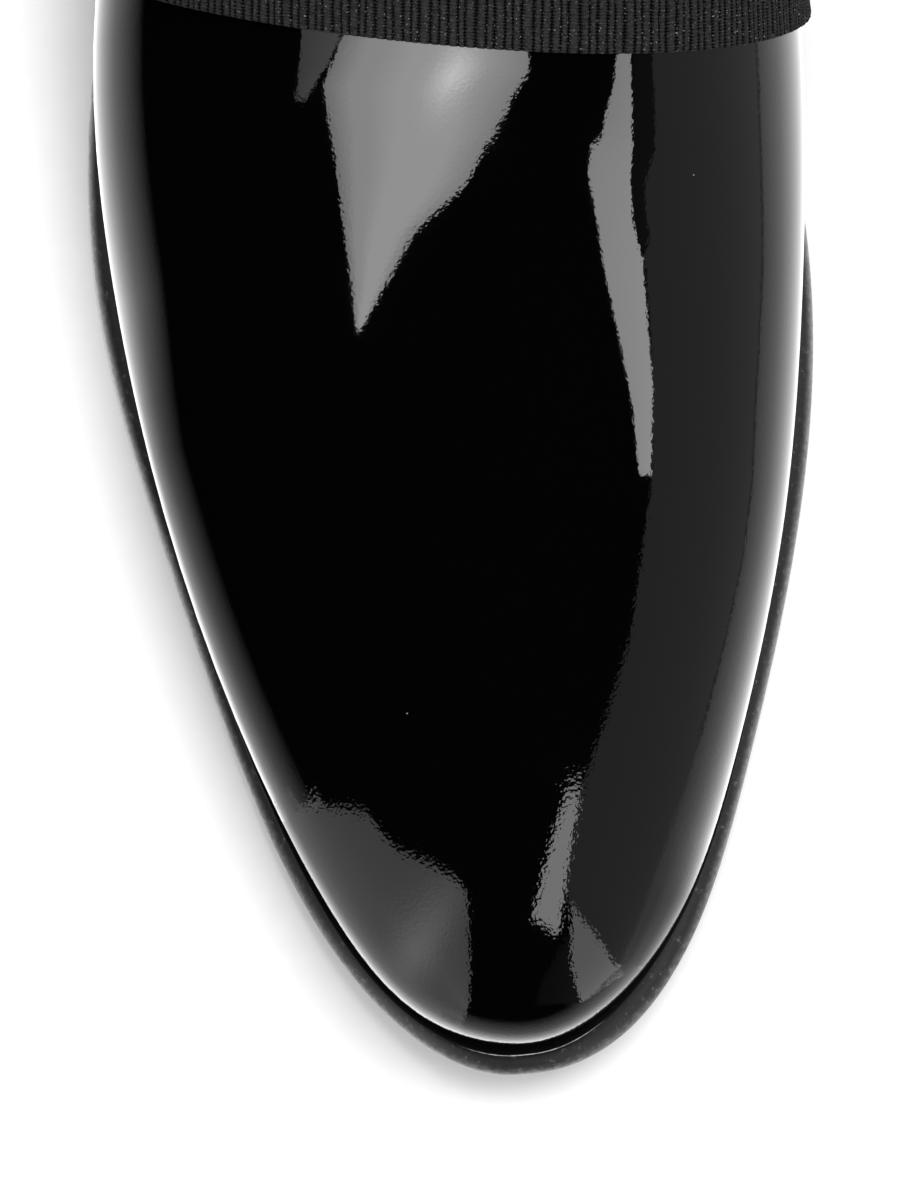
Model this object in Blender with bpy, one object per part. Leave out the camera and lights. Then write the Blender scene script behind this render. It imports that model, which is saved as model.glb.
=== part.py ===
"""Patent leather formal loafer for the right foot, with a grosgrain band over the instep.

All sizes are in millimetres in the shoe's own frame: station runs along the foot from the back of the
outsole to its toe tip, side is positive towards the inner (medial) side, and height is above the floor.
The parent empty carries that frame to metres, with the middle of the shoe's box at the origin.
"""

import math

import bmesh
import bpy
import numpy as np

# Driving sizes
MM = 0.001
LENGTH = 312.0
HEEL_BACK = 1.5
UPPER_LENGTH = 306.5
WALL = 2.0
GAP = 0.3

# Sole stack and tread
OUTSOLE_THICKNESS = 4.6
WELT_THICKNESS = 1.6
WELT_SHARE_OF_LEDGE = 0.62
INSOLE_THICKNESS = 3.5
INSOLE_CLEARANCE = 0.4
TOP_PIECE_THICKNESS = 6.0
HEEL_STACK_HEIGHT = 13.0
HEEL_BREAST = 75.0
HEEL_INSET = 0.8
HEEL_TAPER = 1.6
SHANK_START = 72.0
TREAD_START = 185.0
SPRING_START = 225.0
TOE_SPRING = 10.0
EDGE_ROUND = 1.0
EDGE_UNDERCUT = 1.4

# The last: thirteen sections from the heel's back to the toe tip, spaced by the cosine rule so that
# they crowd at both round ends. Half widths are at the widest line, which lies the wall height above
# the feather edge. The crown is the ridge's height over that line, the peak makes a section more
# pointed, and the ridge shift moves the ridge towards the inner side.
SECTION_COLUMNS = (
    "lateral", "medial", "lateral_wall", "medial_wall", "crown", "peak", "ridge_shift",
    "lateral_ledge", "medial_ledge",
)
SECTIONS = (
    (0.0, 0.0, 14.0, 14.0, 0.0, 0.50, 0.0, 2.2, 2.2),
    (17.2, 17.2, 14.2, 14.2, 34.5, 0.50, 0.0, 2.2, 2.2),
    (30.2, 29.8, 14.5, 15.0, 63.0, 0.50, 0.5, 2.2, 2.2),
    (35.6, 34.4, 15.0, 17.0, 78.0, 0.50, 1.5, 2.2, 2.0),
    (38.4, 35.4, 16.0, 21.0, 76.0, 0.50, 3.5, 2.0, 1.8),
    (46.8, 38.8, 17.0, 25.0, 64.0, 0.42, 7.0, 2.4, 1.6),
    (56.2, 44.8, 15.5, 20.0, 50.8, 0.28, 9.0, 4.6, 2.4),
    (55.5, 44.9, 12.0, 13.0, 39.2, 0.12, 6.5, 5.8, 5.3),
    (48.4, 41.1, 10.0, 10.0, 33.0, 0.00, 3.5, 3.5, 4.6),
    (38.1, 33.7, 8.5, 8.5, 27.0, -0.05, 2.0, 3.4, 3.8),
    (26.8, 24.9, 7.0, 7.0, 20.5, -0.10, 1.0, 3.7, 4.0),
    (14.9, 12.9, 6.2, 6.2, 11.6, -0.10, 0.3, 3.7, 5.3),
    (0.0, 0.0, 6.0, 6.0, 0.0, -0.10, 0.0, 5.2, 5.2),
)
VANISHING_AT_ENDS = ("lateral", "medial", "crown")
TOE_FAN = 26.0
HEEL_FAN = 40.0

# Topline heights at even steps from the heel's back to the throat, where the ridge itself gives the last one.
# The lateral heights are taken at the cutter's lateral face and the medial ones at its medial face.
THROAT = 134.0
TOPLINE_COLUMNS = ("lateral", "medial")
TOPLINE = ((82.0, 82.0), (77.0, 77.5), (67.0, 71.0), (71.0, 74.5))
CUTTER_REACH = 70.0
CUTTER_TOP = 180.0

# Grosgrain band: its front edge crosses the ridge here, leans back down both sides and is skewed
BAND_FRONT = 171.7
BAND_WIDTH = 24.0
BAND_LEAN = 0.37
BAND_SKEW = 0.10
BAND_GAP = 0.4
BAND_THICKNESS = 1.2
BAND_REACH_DOWN_WALL = 0.88

# Mesh steps
RING_STEPS = 40
HEEL_STEPS = 14
COLUMN_STEPS = 46
TOPLINE_STEPS = 40
WALL_STEPS = 4
DOME_STEPS = 11
BAND_SIDE_STEPS = 5
BAND_OVER_STEPS = 34
BAND_WIDTH_STEPS = 3

LATERAL, MEDIAL = -1, 1


def smooth_curve(values, level_ends):
    """Cubic spline through values at even steps from 0 to 1, level at its ends or else straight there."""
    values = np.asarray(values, float)
    last = len(values) - 1
    matrix = np.zeros((last + 1, last + 1))
    right = np.zeros(last + 1)
    for i in range(1, last):
        matrix[i, i - 1 : i + 2] = 1.0, 4.0, 1.0
        right[i] = 6.0 * (values[i - 1] - 2.0 * values[i] + values[i + 1])
    if level_ends:
        matrix[0, :2] = 2.0, 1.0
        matrix[last, last - 1 :] = 1.0, 2.0
        right[0] = 6.0 * (values[1] - values[0])
        right[last] = 6.0 * (values[last - 1] - values[last])
    else:
        matrix[0, 0] = matrix[last, last] = 1.0
    bend = np.linalg.solve(matrix, right)

    def curve(share):
        place = np.clip(np.asarray(share, float), 0.0, 1.0) * last
        i = np.minimum(place.astype(int), last - 1)
        t = place - i
        straight = values[i] * (1 - t) + values[i + 1] * t
        return straight + (bend[i] * ((1 - t) ** 3 - (1 - t)) + bend[i + 1] * (t**3 - t)) / 6.0

    return curve


LAST = {
    name: smooth_curve([row[i] for row in SECTIONS], name not in VANISHING_AT_ENDS)
    for i, name in enumerate(SECTION_COLUMNS)
}


def ease(share):
    """Smooth step from 0 to 1."""
    t = np.clip(share, 0.0, 1.0)
    return t * t * (3.0 - 2.0 * t)


def seat_height():
    return TOP_PIECE_THICKNESS + GAP + HEEL_STACK_HEIGHT + GAP


def tread(station):
    """Height of the outsole's underside: level on heel and forefoot, arched between, sprung at the toe."""
    pitch = seat_height() * (1.0 - ease((station - SHANK_START) / (TREAD_START - SHANK_START)))
    spring = TOE_SPRING * (np.maximum(station - SPRING_START, 0.0) / (LENGTH - SPRING_START)) ** 2
    return pitch + spring


def feather_height(station):
    """Height of the upper's lower edge, on top of the outsole and the welt."""
    return tread(station) + OUTSOLE_THICKNESS + GAP + WELT_THICKNESS + GAP


def station_at(along):
    return HEEL_BACK + UPPER_LENGTH * (1.0 - np.cos(np.pi * along)) / 2.0


def along_at(station):
    share = np.clip((station - HEEL_BACK) / UPPER_LENGTH, 0.0, 1.0)
    return np.arccos(1.0 - 2.0 * share) / np.pi


def middle_at(along):
    return (LAST["medial"](along) - LAST["lateral"](along)) / 2.0


def half_width_at(along):
    return (LAST["medial"](along) + LAST["lateral"](along)) / 2.0


def widest_height(along, across):
    """Height of the widest line, passing evenly from the lateral wall's to the medial wall's."""
    lateral, medial = LAST["lateral_wall"](along), LAST["medial_wall"](along)
    return feather_height(station_at(along)) + (lateral + medial) / 2.0 + (medial - lateral) / 2.0 * across


def dome(station, side):
    """Point of the last above its widest line, over a place in plan, with its ridge shifted."""
    along = along_at(station)
    width = np.maximum(half_width_at(along), 1e-9)
    across = np.clip((side - middle_at(along)) / width, -1.0, 1.0)
    arch = np.sqrt(1.0 - across**2)
    peak = LAST["peak"](along)
    rise = (1.0 - peak) * arch + peak * arch**2
    height = widest_height(along, across) + LAST["crown"](along) * rise
    return np.stack([station, side + LAST["ridge_shift"](along) * rise**2, height], axis=-1)


def ridge_height(station):
    return float(dome(np.array(station), middle_at(along_at(np.array(station))))[2])


def widest_plan(along, hand):
    """Plan of the widest line on one side of the shoe."""
    return np.stack([station_at(along), middle_at(along) + hand * half_width_at(along)], axis=-1)


def outward(along, hand):
    """Outward direction in plan at the widest line."""
    step = 1e-4
    before = widest_plan(np.clip(along - step, 0.0, 1.0), hand)
    after = widest_plan(np.clip(along + step, 0.0, 1.0), hand)
    run = after - before
    normal = np.stack([-hand * run[..., 1], hand * run[..., 0]], axis=-1)
    return normal / np.linalg.norm(normal, axis=-1, keepdims=True)


def wall(along, hand, depth):
    """Point of the last below its widest line, at a depth from 0 there to 1 at the feather edge.
    The wall goes on under the widest line with the curvature that the dome has above it."""
    probe = 0.2
    plan, normal = widest_plan(along, hand), outward(along, hand)
    inside = plan - probe * normal
    top = widest_height(along, hand)
    rise = dome(inside[..., 0], inside[..., 1])[..., 2] - top
    drop = depth * (top - feather_height(plan[..., 0]))
    inset = probe * (drop / rise) ** 2
    place = plan - inset[..., None] * normal
    return np.concatenate([place, (top - drop)[..., None]], axis=-1)


def feather_plan(along, hand):
    return wall(along, hand, np.ones_like(along))[..., :2]


def spine_plan(along):
    """Where a section's plan line meets the middle: straight across, but fanned round toe and heel."""
    station = station_at(along)
    from_heel = station - HEEL_BACK
    from_toe = UPPER_LENGTH - from_heel
    forward = np.hypot(from_heel, HEEL_FAN) - from_heel
    back = np.hypot(from_toe, TOE_FAN) - from_toe
    spine = station + forward - back
    return np.stack([spine, middle_at(along_at(spine))], axis=-1)


def upper_half(hand):
    """Grid of points over one half of the last: columns from heel to toe, rows from feather edge to spine."""
    along = np.arange(COLUMN_STEPS + 1) / COLUMN_STEPS
    outer, spine = widest_plan(along, hand), spine_plan(along)
    rows = [wall(along, hand, np.full_like(along, 1.0 - j / WALL_STEPS)) for j in range(WALL_STEPS)]
    for j in range(DOME_STEPS + 1):
        share = 1.0 - math.cos(math.pi / 2 * j / DOME_STEPS)
        plan = outer + share * (spine - outer)
        rows.append(dome(plan[:, 0], plan[:, 1]))
    return np.stack(rows, axis=1)


def sole_ring(inset_of_ledge, inset):
    """Closed ring round the sole: lateral side from heel to toe, then medial side back to the heel.
    It stands off the feather edge by a share of the ledge, less a plain inset."""
    ring = []
    along = np.arange(RING_STEPS + 1) / RING_STEPS
    for hand, name in ((LATERAL, "lateral_ledge"), (MEDIAL, "medial_ledge")):
        reach = inset_of_ledge * LAST[name](along) - inset
        side = feather_plan(along, hand) + reach[:, None] * outward(along, hand)
        ring.append(side if hand == LATERAL else side[-2:0:-1])
    return np.concatenate(ring)


def lifted(plan, height):
    return np.column_stack([plan, height])


def make_object(name, bm, finish, parent):
    mesh = bpy.data.meshes.new(name)
    bm.to_mesh(mesh)
    bm.free()
    mesh.shade_smooth()
    mesh.set_sharp_from_angle(angle=math.radians(40))
    mesh.materials.append(finish)
    made = bpy.data.objects.new(name, mesh)
    bpy.context.scene.collection.objects.link(made)
    made.parent = parent
    return made


def add_points(bm, points):
    return [bm.verts.new(point * MM) for point in points]


def bridge(bm, upper_ring, lower_ring):
    """Quads between two rings that run the same way, facing away from their middle."""
    count = len(upper_ring)
    for i in range(count):
        j = (i + 1) % count
        bm.faces.new((upper_ring[i], lower_ring[i], lower_ring[j], upper_ring[j]))


def rungs(bm, ring, facing_up):
    """Closes a ring with rungs from its lateral to its medial side."""
    count = len(ring)
    for i in range((count + 1) // 2):
        corners = [ring[i], ring[i + 1], ring[(count - i - 1) % count], ring[(count - i) % count]]
        face = list(dict.fromkeys(corners))
        if len(face) > 2:
            bm.faces.new(face if facing_up else face[::-1])


def slab(rings):
    """Closed body from rings listed from its top face, round its edge, to its bottom face."""
    bm = bmesh.new()
    loops = [add_points(bm, ring) for ring in rings]
    for first, second in zip(loops, loops[1:]):
        bridge(bm, first, second)
    rungs(bm, loops[0], True)
    rungs(bm, loops[-1], False)
    bmesh.ops.recalc_face_normals(bm, faces=bm.faces)
    return bm


def outsole():
    rim = sole_ring(1.0, EDGE_ROUND)
    edge = sole_ring(1.0, 0.0)
    under = sole_ring(1.0, EDGE_UNDERCUT)
    top = OUTSOLE_THICKNESS
    return slab([
        lifted(rim, tread(rim[:, 0]) + top),
        lifted(edge, tread(edge[:, 0]) + top - EDGE_ROUND),
        lifted(edge, tread(edge[:, 0]) + EDGE_UNDERCUT),
        lifted(under, tread(under[:, 0])),
    ])


def welt():
    """Flat strip round the whole foot, standing on the outsole with its inner edge under the upper's wall."""
    outer = sole_ring(WELT_SHARE_OF_LEDGE, 0.0)
    inner = sole_ring(0.0, WALL)
    low = OUTSOLE_THICKNESS + GAP
    high = low + WELT_THICKNESS
    bm = bmesh.new()
    loops = [
        add_points(bm, lifted(plan, tread(plan[:, 0]) + level))
        for plan, level in ((outer, high), (outer, low), (inner, low), (inner, high))
    ]
    for i in range(len(loops)):
        bridge(bm, loops[i], loops[(i + 1) % len(loops)])
    bmesh.ops.recalc_face_normals(bm, faces=bm.faces)
    return bm


def insole():
    plan = sole_ring(0.0, WALL + INSOLE_CLEARANCE)
    low = tread(plan[:, 0]) + OUTSOLE_THICKNESS + GAP
    return slab([lifted(plan, low + INSOLE_THICKNESS), lifted(plan, low)])


def heel_ring(inset):
    """Ring round the heel seat: lateral side from back to breast, then the medial side to the back."""
    breast = float(along_at(np.array(HEEL_BREAST)))
    along = breast * np.arange(HEEL_STEPS + 1) / HEEL_STEPS
    sides = []
    for hand, name in ((LATERAL, "lateral_ledge"), (MEDIAL, "medial_ledge")):
        reach = LAST[name](along) - EDGE_UNDERCUT - inset
        sides.append(feather_plan(along, hand) + reach[:, None] * outward(along, hand))
    ring = np.concatenate([sides[0], sides[1][:0:-1]])
    ring[HEEL_STEPS : HEEL_STEPS + 2, 0] = HEEL_BREAST
    return ring


def heel_layer(low, high):
    """One layer of the heel, drawn in towards the floor by the heel's taper."""
    whole = TOP_PIECE_THICKNESS + GAP + HEEL_STACK_HEIGHT
    rings = []
    for level in (high, low):
        plan = heel_ring(HEEL_INSET + HEEL_TAPER * (1.0 - level / whole))
        rings.append(lifted(plan, np.full(len(plan), level)))
    return slab(rings)


def collar_cutter():
    """Block over the collar, its underside the topline seen from the side, ruled straight across."""
    share = np.arange(TOPLINE_STEPS + 1) / TOPLINE_STEPS
    station = HEEL_BACK + (THROAT - HEEL_BACK) * np.sin(np.pi / 2 * share)
    behind = HEEL_BACK - CUTTER_REACH
    rings = []
    for name, hand in (("lateral", LATERAL), ("medial", MEDIAL)):
        heights = [row[TOPLINE_COLUMNS.index(name)] for row in TOPLINE] + [ridge_height(THROAT)]
        edge = smooth_curve(heights, False)((station - HEEL_BACK) / (THROAT - HEEL_BACK))
        station_out = np.concatenate([[behind], station, [THROAT, behind]])
        side_out = np.full_like(station_out, hand * CUTTER_REACH)
        height_out = np.concatenate([[edge[0]], edge, [CUTTER_TOP, CUTTER_TOP]])
        rings.append(np.column_stack([station_out, side_out, height_out]))
    bm = bmesh.new()
    loops = [add_points(bm, ring) for ring in rings]
    bridge(bm, loops[0], loops[1])
    for loop in loops:
        bm.faces.new(loop)
    bmesh.ops.recalc_face_normals(bm, faces=bm.faces)
    return bm


def upper():
    """Outer skin of both halves, joined along the ridge, the toe and the heel. It is thickened inwards
    and its collar is cut open afterwards."""
    bm = bmesh.new()
    for hand in (LATERAL, MEDIAL):
        grid = upper_half(hand)
        verts = [add_points(bm, column) for column in grid]
        for i in range(len(verts) - 1):
            for j in range(len(verts[i]) - 1):
                face = [verts[i][j], verts[i + 1][j], verts[i + 1][j + 1], verts[i][j + 1]]
                bm.faces.new(face if hand == LATERAL else face[::-1])
    bmesh.ops.remove_doubles(bm, verts=bm.verts, dist=0.01 * MM)
    bmesh.ops.dissolve_degenerate(bm, edges=bm.edges, dist=0.01 * MM)
    return bm


def thicken(made, thickness, offset):
    modifier = made.modifiers.new("wall", "SOLIDIFY")
    modifier.thickness = thickness * MM
    modifier.offset = offset
    modifier.use_even_offset = True
    modifier.use_quality_normals = True


def cut(made, cutter):
    cutter.hide_render = True
    cutter.display_type = "WIRE"
    modifier = made.modifiers.new("opening", "BOOLEAN")
    modifier.operation = "DIFFERENCE"
    modifier.solver = "EXACT"
    modifier.object = cutter


def over_the_foot(station, across):
    """Point on the last's skin at a station. Across runs from -2 at the lateral feather edge to 2 at the
    medial one, passing the widest lines at -1 and 1."""
    along = along_at(station)
    flat = np.sin(np.pi / 2 * np.clip(across, -1.0, 1.0))
    points = dome(station, middle_at(along) + flat * half_width_at(along))
    for hand in (LATERAL, MEDIAL):
        below = hand * across > 1.0
        points[below] = wall(along[below], hand, hand * across[below] - 1.0)
    return points


def band_grid():
    """Skin under the band: rows over the foot from side to side, columns from front edge to back edge."""
    side = 1.0 + BAND_REACH_DOWN_WALL * np.arange(BAND_SIDE_STEPS, 0, -1) / BAND_SIDE_STEPS
    over = np.linspace(-1.0, 1.0, BAND_OVER_STEPS + 1)
    across = np.concatenate([-side, over, side[::-1]])
    columns = []
    for j in range(BAND_WIDTH_STEPS + 1):
        start = BAND_FRONT - BAND_WIDTH * j / BAND_WIDTH_STEPS
        top = ridge_height(start)
        station = np.full_like(across, start)
        for _ in range(12):
            points = over_the_foot(station, across)
            station = start - BAND_LEAN * (top - points[:, 2]) + BAND_SKEW * points[:, 1]
        columns.append(over_the_foot(station, across))
    return np.stack(columns, axis=1)


def band():
    """Ribbon laid over the upper with a small gap, thickened outwards."""
    grid = band_grid()
    over = np.gradient(grid, axis=0)
    back = np.gradient(grid, axis=1)
    normal = np.cross(over, back)
    normal /= np.linalg.norm(normal, axis=2, keepdims=True)
    bm = bmesh.new()
    verts = [add_points(bm, row) for row in grid + BAND_GAP * normal]
    for i in range(len(verts) - 1):
        for j in range(len(verts[i]) - 1):
            bm.faces.new((verts[i][j], verts[i + 1][j], verts[i + 1][j + 1], verts[i][j + 1]))
    return bm


def finish(name, colour, roughness, coat):
    material = bpy.data.materials.new(name)
    material.use_nodes = True
    shader = material.node_tree.nodes["Principled BSDF"]
    shader.inputs["Base Color"].default_value = (*colour, 1.0)
    shader.inputs["Roughness"].default_value = roughness
    shader.inputs["Metallic"].default_value = 0.0
    shader.inputs["Coat Weight"].default_value = coat
    return material


def build():
    for old in list(bpy.data.objects):
        bpy.data.objects.remove(old)
    patent = finish("black_patent_leather", (0.006, 0.006, 0.007), 0.06, 1.0)
    ribbon = finish("black_grosgrain", (0.018, 0.018, 0.019), 0.8, 0.0)
    edge = finish("black_sole_leather", (0.03, 0.03, 0.032), 0.4, 0.0)
    rubber = finish("black_rubber", (0.02, 0.02, 0.02), 0.7, 0.0)
    lining = finish("black_lining_leather", (0.03, 0.028, 0.027), 0.6, 0.0)

    rim = sole_ring(1.0, 0.0)
    shoe = bpy.data.objects.new("loafer", None)
    centre = (rim.min(axis=0) + rim.max(axis=0)) / 2
    shoe.location = (-centre[0] * MM, -centre[1] * MM, 0.0)
    bpy.context.scene.collection.objects.link(shoe)

    make_object("outsole", outsole(), edge, shoe)
    make_object("welt", welt(), edge, shoe)
    make_object("insole", insole(), lining, shoe)
    make_object("heel_stack", heel_layer(TOP_PIECE_THICKNESS + GAP, seat_height() - GAP), edge, shoe)
    make_object("heel_top_piece", heel_layer(0.0, TOP_PIECE_THICKNESS), rubber, shoe)
    vamp = make_object("upper", upper(), patent, shoe)
    thicken(vamp, WALL, -1.0)
    cut(vamp, make_object("collar_cutter", collar_cutter(), lining, shoe))
    thicken(make_object("grosgrain_band", band(), ribbon, shoe), BAND_THICKNESS, 1.0)


build()
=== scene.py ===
"""Black patent slip-on shoe for the right foot, with a grosgrain band over its instep.

The shapes are worked out in millimetres in the shoe's own frame: station runs from the back of the sole
to the toe tip, side is positive towards the inner side of the foot, height is above the floor.
"""

import math

import bmesh
import bpy
import numpy as np
from mathutils import Matrix


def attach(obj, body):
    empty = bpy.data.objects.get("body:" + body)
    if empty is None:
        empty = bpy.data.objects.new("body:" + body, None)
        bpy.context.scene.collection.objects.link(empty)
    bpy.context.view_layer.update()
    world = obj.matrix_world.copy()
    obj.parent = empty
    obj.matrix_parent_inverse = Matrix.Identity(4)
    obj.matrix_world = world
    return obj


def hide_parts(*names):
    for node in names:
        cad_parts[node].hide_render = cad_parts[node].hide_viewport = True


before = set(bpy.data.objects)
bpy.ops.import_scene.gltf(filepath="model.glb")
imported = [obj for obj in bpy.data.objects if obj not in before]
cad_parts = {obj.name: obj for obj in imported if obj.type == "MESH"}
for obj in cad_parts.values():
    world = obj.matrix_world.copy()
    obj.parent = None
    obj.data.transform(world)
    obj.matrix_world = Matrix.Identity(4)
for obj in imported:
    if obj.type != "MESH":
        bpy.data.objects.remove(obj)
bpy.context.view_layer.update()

# Insole
# A thin board with a soft black leather sock on it. The whole shoe is lasted round it, so the last's own
# sections are given here: the board is cut to the last's feather edge, less the upper's wall.
MM = 0.001
LATERAL, MEDIAL = -1, 1
HEEL_BACK, UPPER_LENGTH, SOLE_LENGTH = 1.5, 306.5, 312.0
WALL, GAP = 2.0, 0.3
SEAT_HEIGHT = 19.6
SHANK_START, TREAD_START, SPRING_START, TOE_SPRING = 72.0, 185.0, 225.0, 10.0
OUTSOLE_THICKNESS, WELT_THICKNESS = 4.6, 1.6
OUTSOLE_TOP = OUTSOLE_THICKNESS + GAP
INSOLE_INSET, SOCK_DISH = 2.4, 1.2
SOCK_EDGE = ((1.4, 3.5), (0.5, 3.38), (0.1, 3.0), (0.0, 2.5), (0.0, 0.0))
RING_STEPS, COARSE_STEPS, TRIM_START = 220, 40, 0.76
MERGE, FINE_MERGE, SLIVER = 0.004, 0.001, 0.001

SECTION_COLUMNS = (
    "lateral", "medial", "lateral_wall", "medial_wall", "crown", "peak", "ridge_shift",
    "lateral_ledge", "medial_ledge",
)
SECTIONS = (
    (0.0, 0.0, 14.0, 14.0, 0.0, 0.50, 0.0, 2.2, 2.2),
    (17.2, 17.2, 14.2, 14.2, 34.5, 0.50, 0.0, 2.2, 2.2),
    (30.2, 29.8, 14.5, 15.0, 63.0, 0.50, 0.5, 2.2, 2.2),
    (35.6, 34.4, 15.0, 17.0, 78.0, 0.50, 1.5, 2.2, 2.0),
    (38.4, 35.4, 16.0, 21.0, 76.0, 0.50, 3.5, 2.0, 1.8),
    (46.8, 38.8, 17.0, 25.0, 64.0, 0.42, 7.0, 2.4, 1.6),
    (56.2, 44.8, 15.5, 20.0, 50.8, 0.28, 9.0, 4.6, 2.4),
    (55.5, 44.9, 12.0, 13.0, 39.2, 0.12, 6.5, 5.8, 5.3),
    (48.4, 41.1, 10.0, 10.0, 33.0, 0.00, 3.5, 3.5, 4.6),
    (38.1, 33.7, 8.5, 8.5, 27.0, -0.05, 2.0, 3.4, 3.8),
    (26.8, 24.9, 7.0, 7.0, 20.5, -0.10, 1.0, 3.7, 4.0),
    (14.9, 12.9, 6.2, 6.2, 11.6, -0.10, 0.3, 3.7, 5.3),
    (0.0, 0.0, 6.0, 6.0, 0.0, -0.10, 0.0, 5.2, 5.2),
)


def smooth_curve(values, level_ends):
    """Cubic spline through values at even steps from 0 to 1: its bends solve the usual three-term equations,
    with level ends or else unbent ones."""
    values = np.asarray(values, float)
    last = len(values) - 1
    matrix = 4.0 * np.eye(last + 1) + np.eye(last + 1, k=1) + np.eye(last + 1, k=-1)
    right = np.zeros(last + 1)
    right[1:-1] = 6.0 * np.diff(values, 2)
    matrix[0], matrix[-1] = 0.0, 0.0
    if level_ends:
        matrix[0, :2], matrix[-1, -2:] = (2.0, 1.0), (1.0, 2.0)
        right[0], right[-1] = 6.0 * (values[1] - values[0]), 6.0 * (values[-2] - values[-1])
    else:
        matrix[0, 0] = matrix[-1, -1] = 1.0
    bend = np.linalg.solve(matrix, right)

    def curve(share):
        """Straight line between two values plus the cubic part of their bends."""
        place = np.clip(np.asarray(share, float), 0.0, 1.0) * last
        i = np.minimum(place.astype(int), last - 1)
        t = place - i
        straight = values[i] * (1 - t) + values[i + 1] * t
        return straight + (bend[i] * ((1 - t) ** 3 - (1 - t)) + bend[i + 1] * (t**3 - t)) / 6.0

    return curve


LAST = {
    name: smooth_curve([row[i] for row in SECTIONS], name not in ("lateral", "medial", "crown"))
    for i, name in enumerate(SECTION_COLUMNS)
}


def tread(station):
    """Height of the sole's underside: the seat's height eased down through the waist, plus a spring at the
    toe that grows with the square of the distance."""
    t = np.clip((station - SHANK_START) / (TREAD_START - SHANK_START), 0.0, 1.0)
    spring = np.maximum(station - SPRING_START, 0.0) / (SOLE_LENGTH - SPRING_START)
    return SEAT_HEIGHT * (1.0 - t * t * (3.0 - 2.0 * t)) + TOE_SPRING * spring**2


def feather_height(station):
    """Height of the last's lower edge: the tread plus the sole and the welt, with a gap over each."""
    return tread(station) + OUTSOLE_TOP + WELT_THICKNESS + GAP


def station_at(along):
    """Cosine rule: even steps of along crowd the stations at the heel and at the toe."""
    return HEEL_BACK + UPPER_LENGTH * (1.0 - np.cos(np.pi * along)) / 2.0


def along_at(station):
    """Cosine rule turned round: the along of a station."""
    return np.arccos(1.0 - 2.0 * np.clip((station - HEEL_BACK) / UPPER_LENGTH, 0.0, 1.0)) / np.pi


def middle_at(along):
    """Side of the last's middle: half of what its medial width has over its lateral one."""
    return (LAST["medial"](along) - LAST["lateral"](along)) / 2.0


def half_width_at(along):
    """Half of both widths together."""
    return (LAST["medial"](along) + LAST["lateral"](along)) / 2.0


def widest_height(along, across):
    """Height of the widest line over the feather edge, passing evenly from one wall's to the other's."""
    lateral, medial = LAST["lateral_wall"](along), LAST["medial_wall"](along)
    return feather_height(station_at(along)) + (lateral + medial + (medial - lateral) * across) / 2.0


def dome(station, side):
    """Last above its widest line: an arch, the root of one less the square of the place across, made more
    pointed by the peak, times the crown. The ridge is moved sideways by the square of that rise."""
    along = along_at(station)
    across = np.clip((side - middle_at(along)) / np.maximum(half_width_at(along), 1e-9), -1.0, 1.0)
    arch = np.sqrt(1.0 - across**2)
    peak = LAST["peak"](along)
    rise = (1.0 - peak) * arch + peak * arch**2
    height = widest_height(along, across) + LAST["crown"](along) * rise
    return np.stack([station, side + LAST["ridge_shift"](along) * rise**2, height], axis=-1)


def widest_plan(along, hand):
    """Widest line in plan: the middle and half the width to one hand."""
    return np.stack([station_at(along), middle_at(along) + hand * half_width_at(along)], axis=-1)


def outward(along, hand):
    """Outward direction in plan at the widest line, square to its run."""
    step = 1e-4
    before, after = np.maximum(along - step, 0.0), np.minimum(along + step, 1.0)
    run = widest_plan(after, hand) - widest_plan(before, hand)
    normal = np.stack([-hand * run[..., 1], hand * run[..., 0]], axis=-1)
    return normal / np.linalg.norm(normal, axis=-1, keepdims=True)


def wall(along, hand, depth):
    """Last below its widest line, from depth 0 there to 1 at the feather edge: it draws in with the square of
    the drop, at the curvature that the dome has just above."""
    probe = 0.2
    plan, normal = widest_plan(along, hand), outward(along, hand)
    inside = plan - probe * normal
    top = widest_height(along, hand)
    rise = dome(inside[..., 0], inside[..., 1])[..., 2] - top
    drop = depth * (top - feather_height(plan[..., 0]))
    place = plan - (probe * (drop / rise) ** 2)[..., None] * normal
    return np.concatenate([place, (top - drop)[..., None]], axis=-1)


def ledge_line(along, hand, share_of_ledge, inset):
    """Line in plan that stands off the feather edge by a share of the sole's ledge less an inset."""
    ledge = LAST["medial_ledge" if hand == MEDIAL else "lateral_ledge"](along)
    feather = wall(along, hand, np.ones_like(along))[:, :2]
    return feather + (share_of_ledge * ledge - inset)[:, None] * outward(along, hand)


def sole_ring(share_of_ledge, inset, steps=RING_STEPS, toe_trim=0.0):
    """Closed ring of ledge lines, lateral side to the toe and medial side back. A trim draws in the medial
    side of the toe by a squared sine."""
    along = np.arange(steps + 1) / steps
    trim = toe_trim * np.sin(np.pi * np.clip((along - TRIM_START) / (1.0 - TRIM_START), 0.0, 1.0)) ** 2
    lateral = ledge_line(along, LATERAL, share_of_ledge, inset)
    medial = ledge_line(along, MEDIAL, share_of_ledge, inset + trim)
    return np.concatenate([lateral, medial[-2:0:-1]])


def swept(ring_of, profile):
    """Rings of points for a profile of inset and height over the tread, carried round a plan ring."""
    rings = []
    for inset, height in profile:
        plan = ring_of(inset)
        rings.append(np.column_stack([plan, tread(plan[:, 0]) + height]))
    return np.stack(rings)


coarse_outline = sole_ring(1.0, 0.0, COARSE_STEPS)
CENTRE = (coarse_outline.min(axis=0) + coarse_outline.max(axis=0)) / 2


def to_row(points):
    """Shoe's frame in millimetres to the row's frame in metres."""
    return (points - np.array([CENTRE[0], CENTRE[1], 0.0])) * MM


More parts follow.
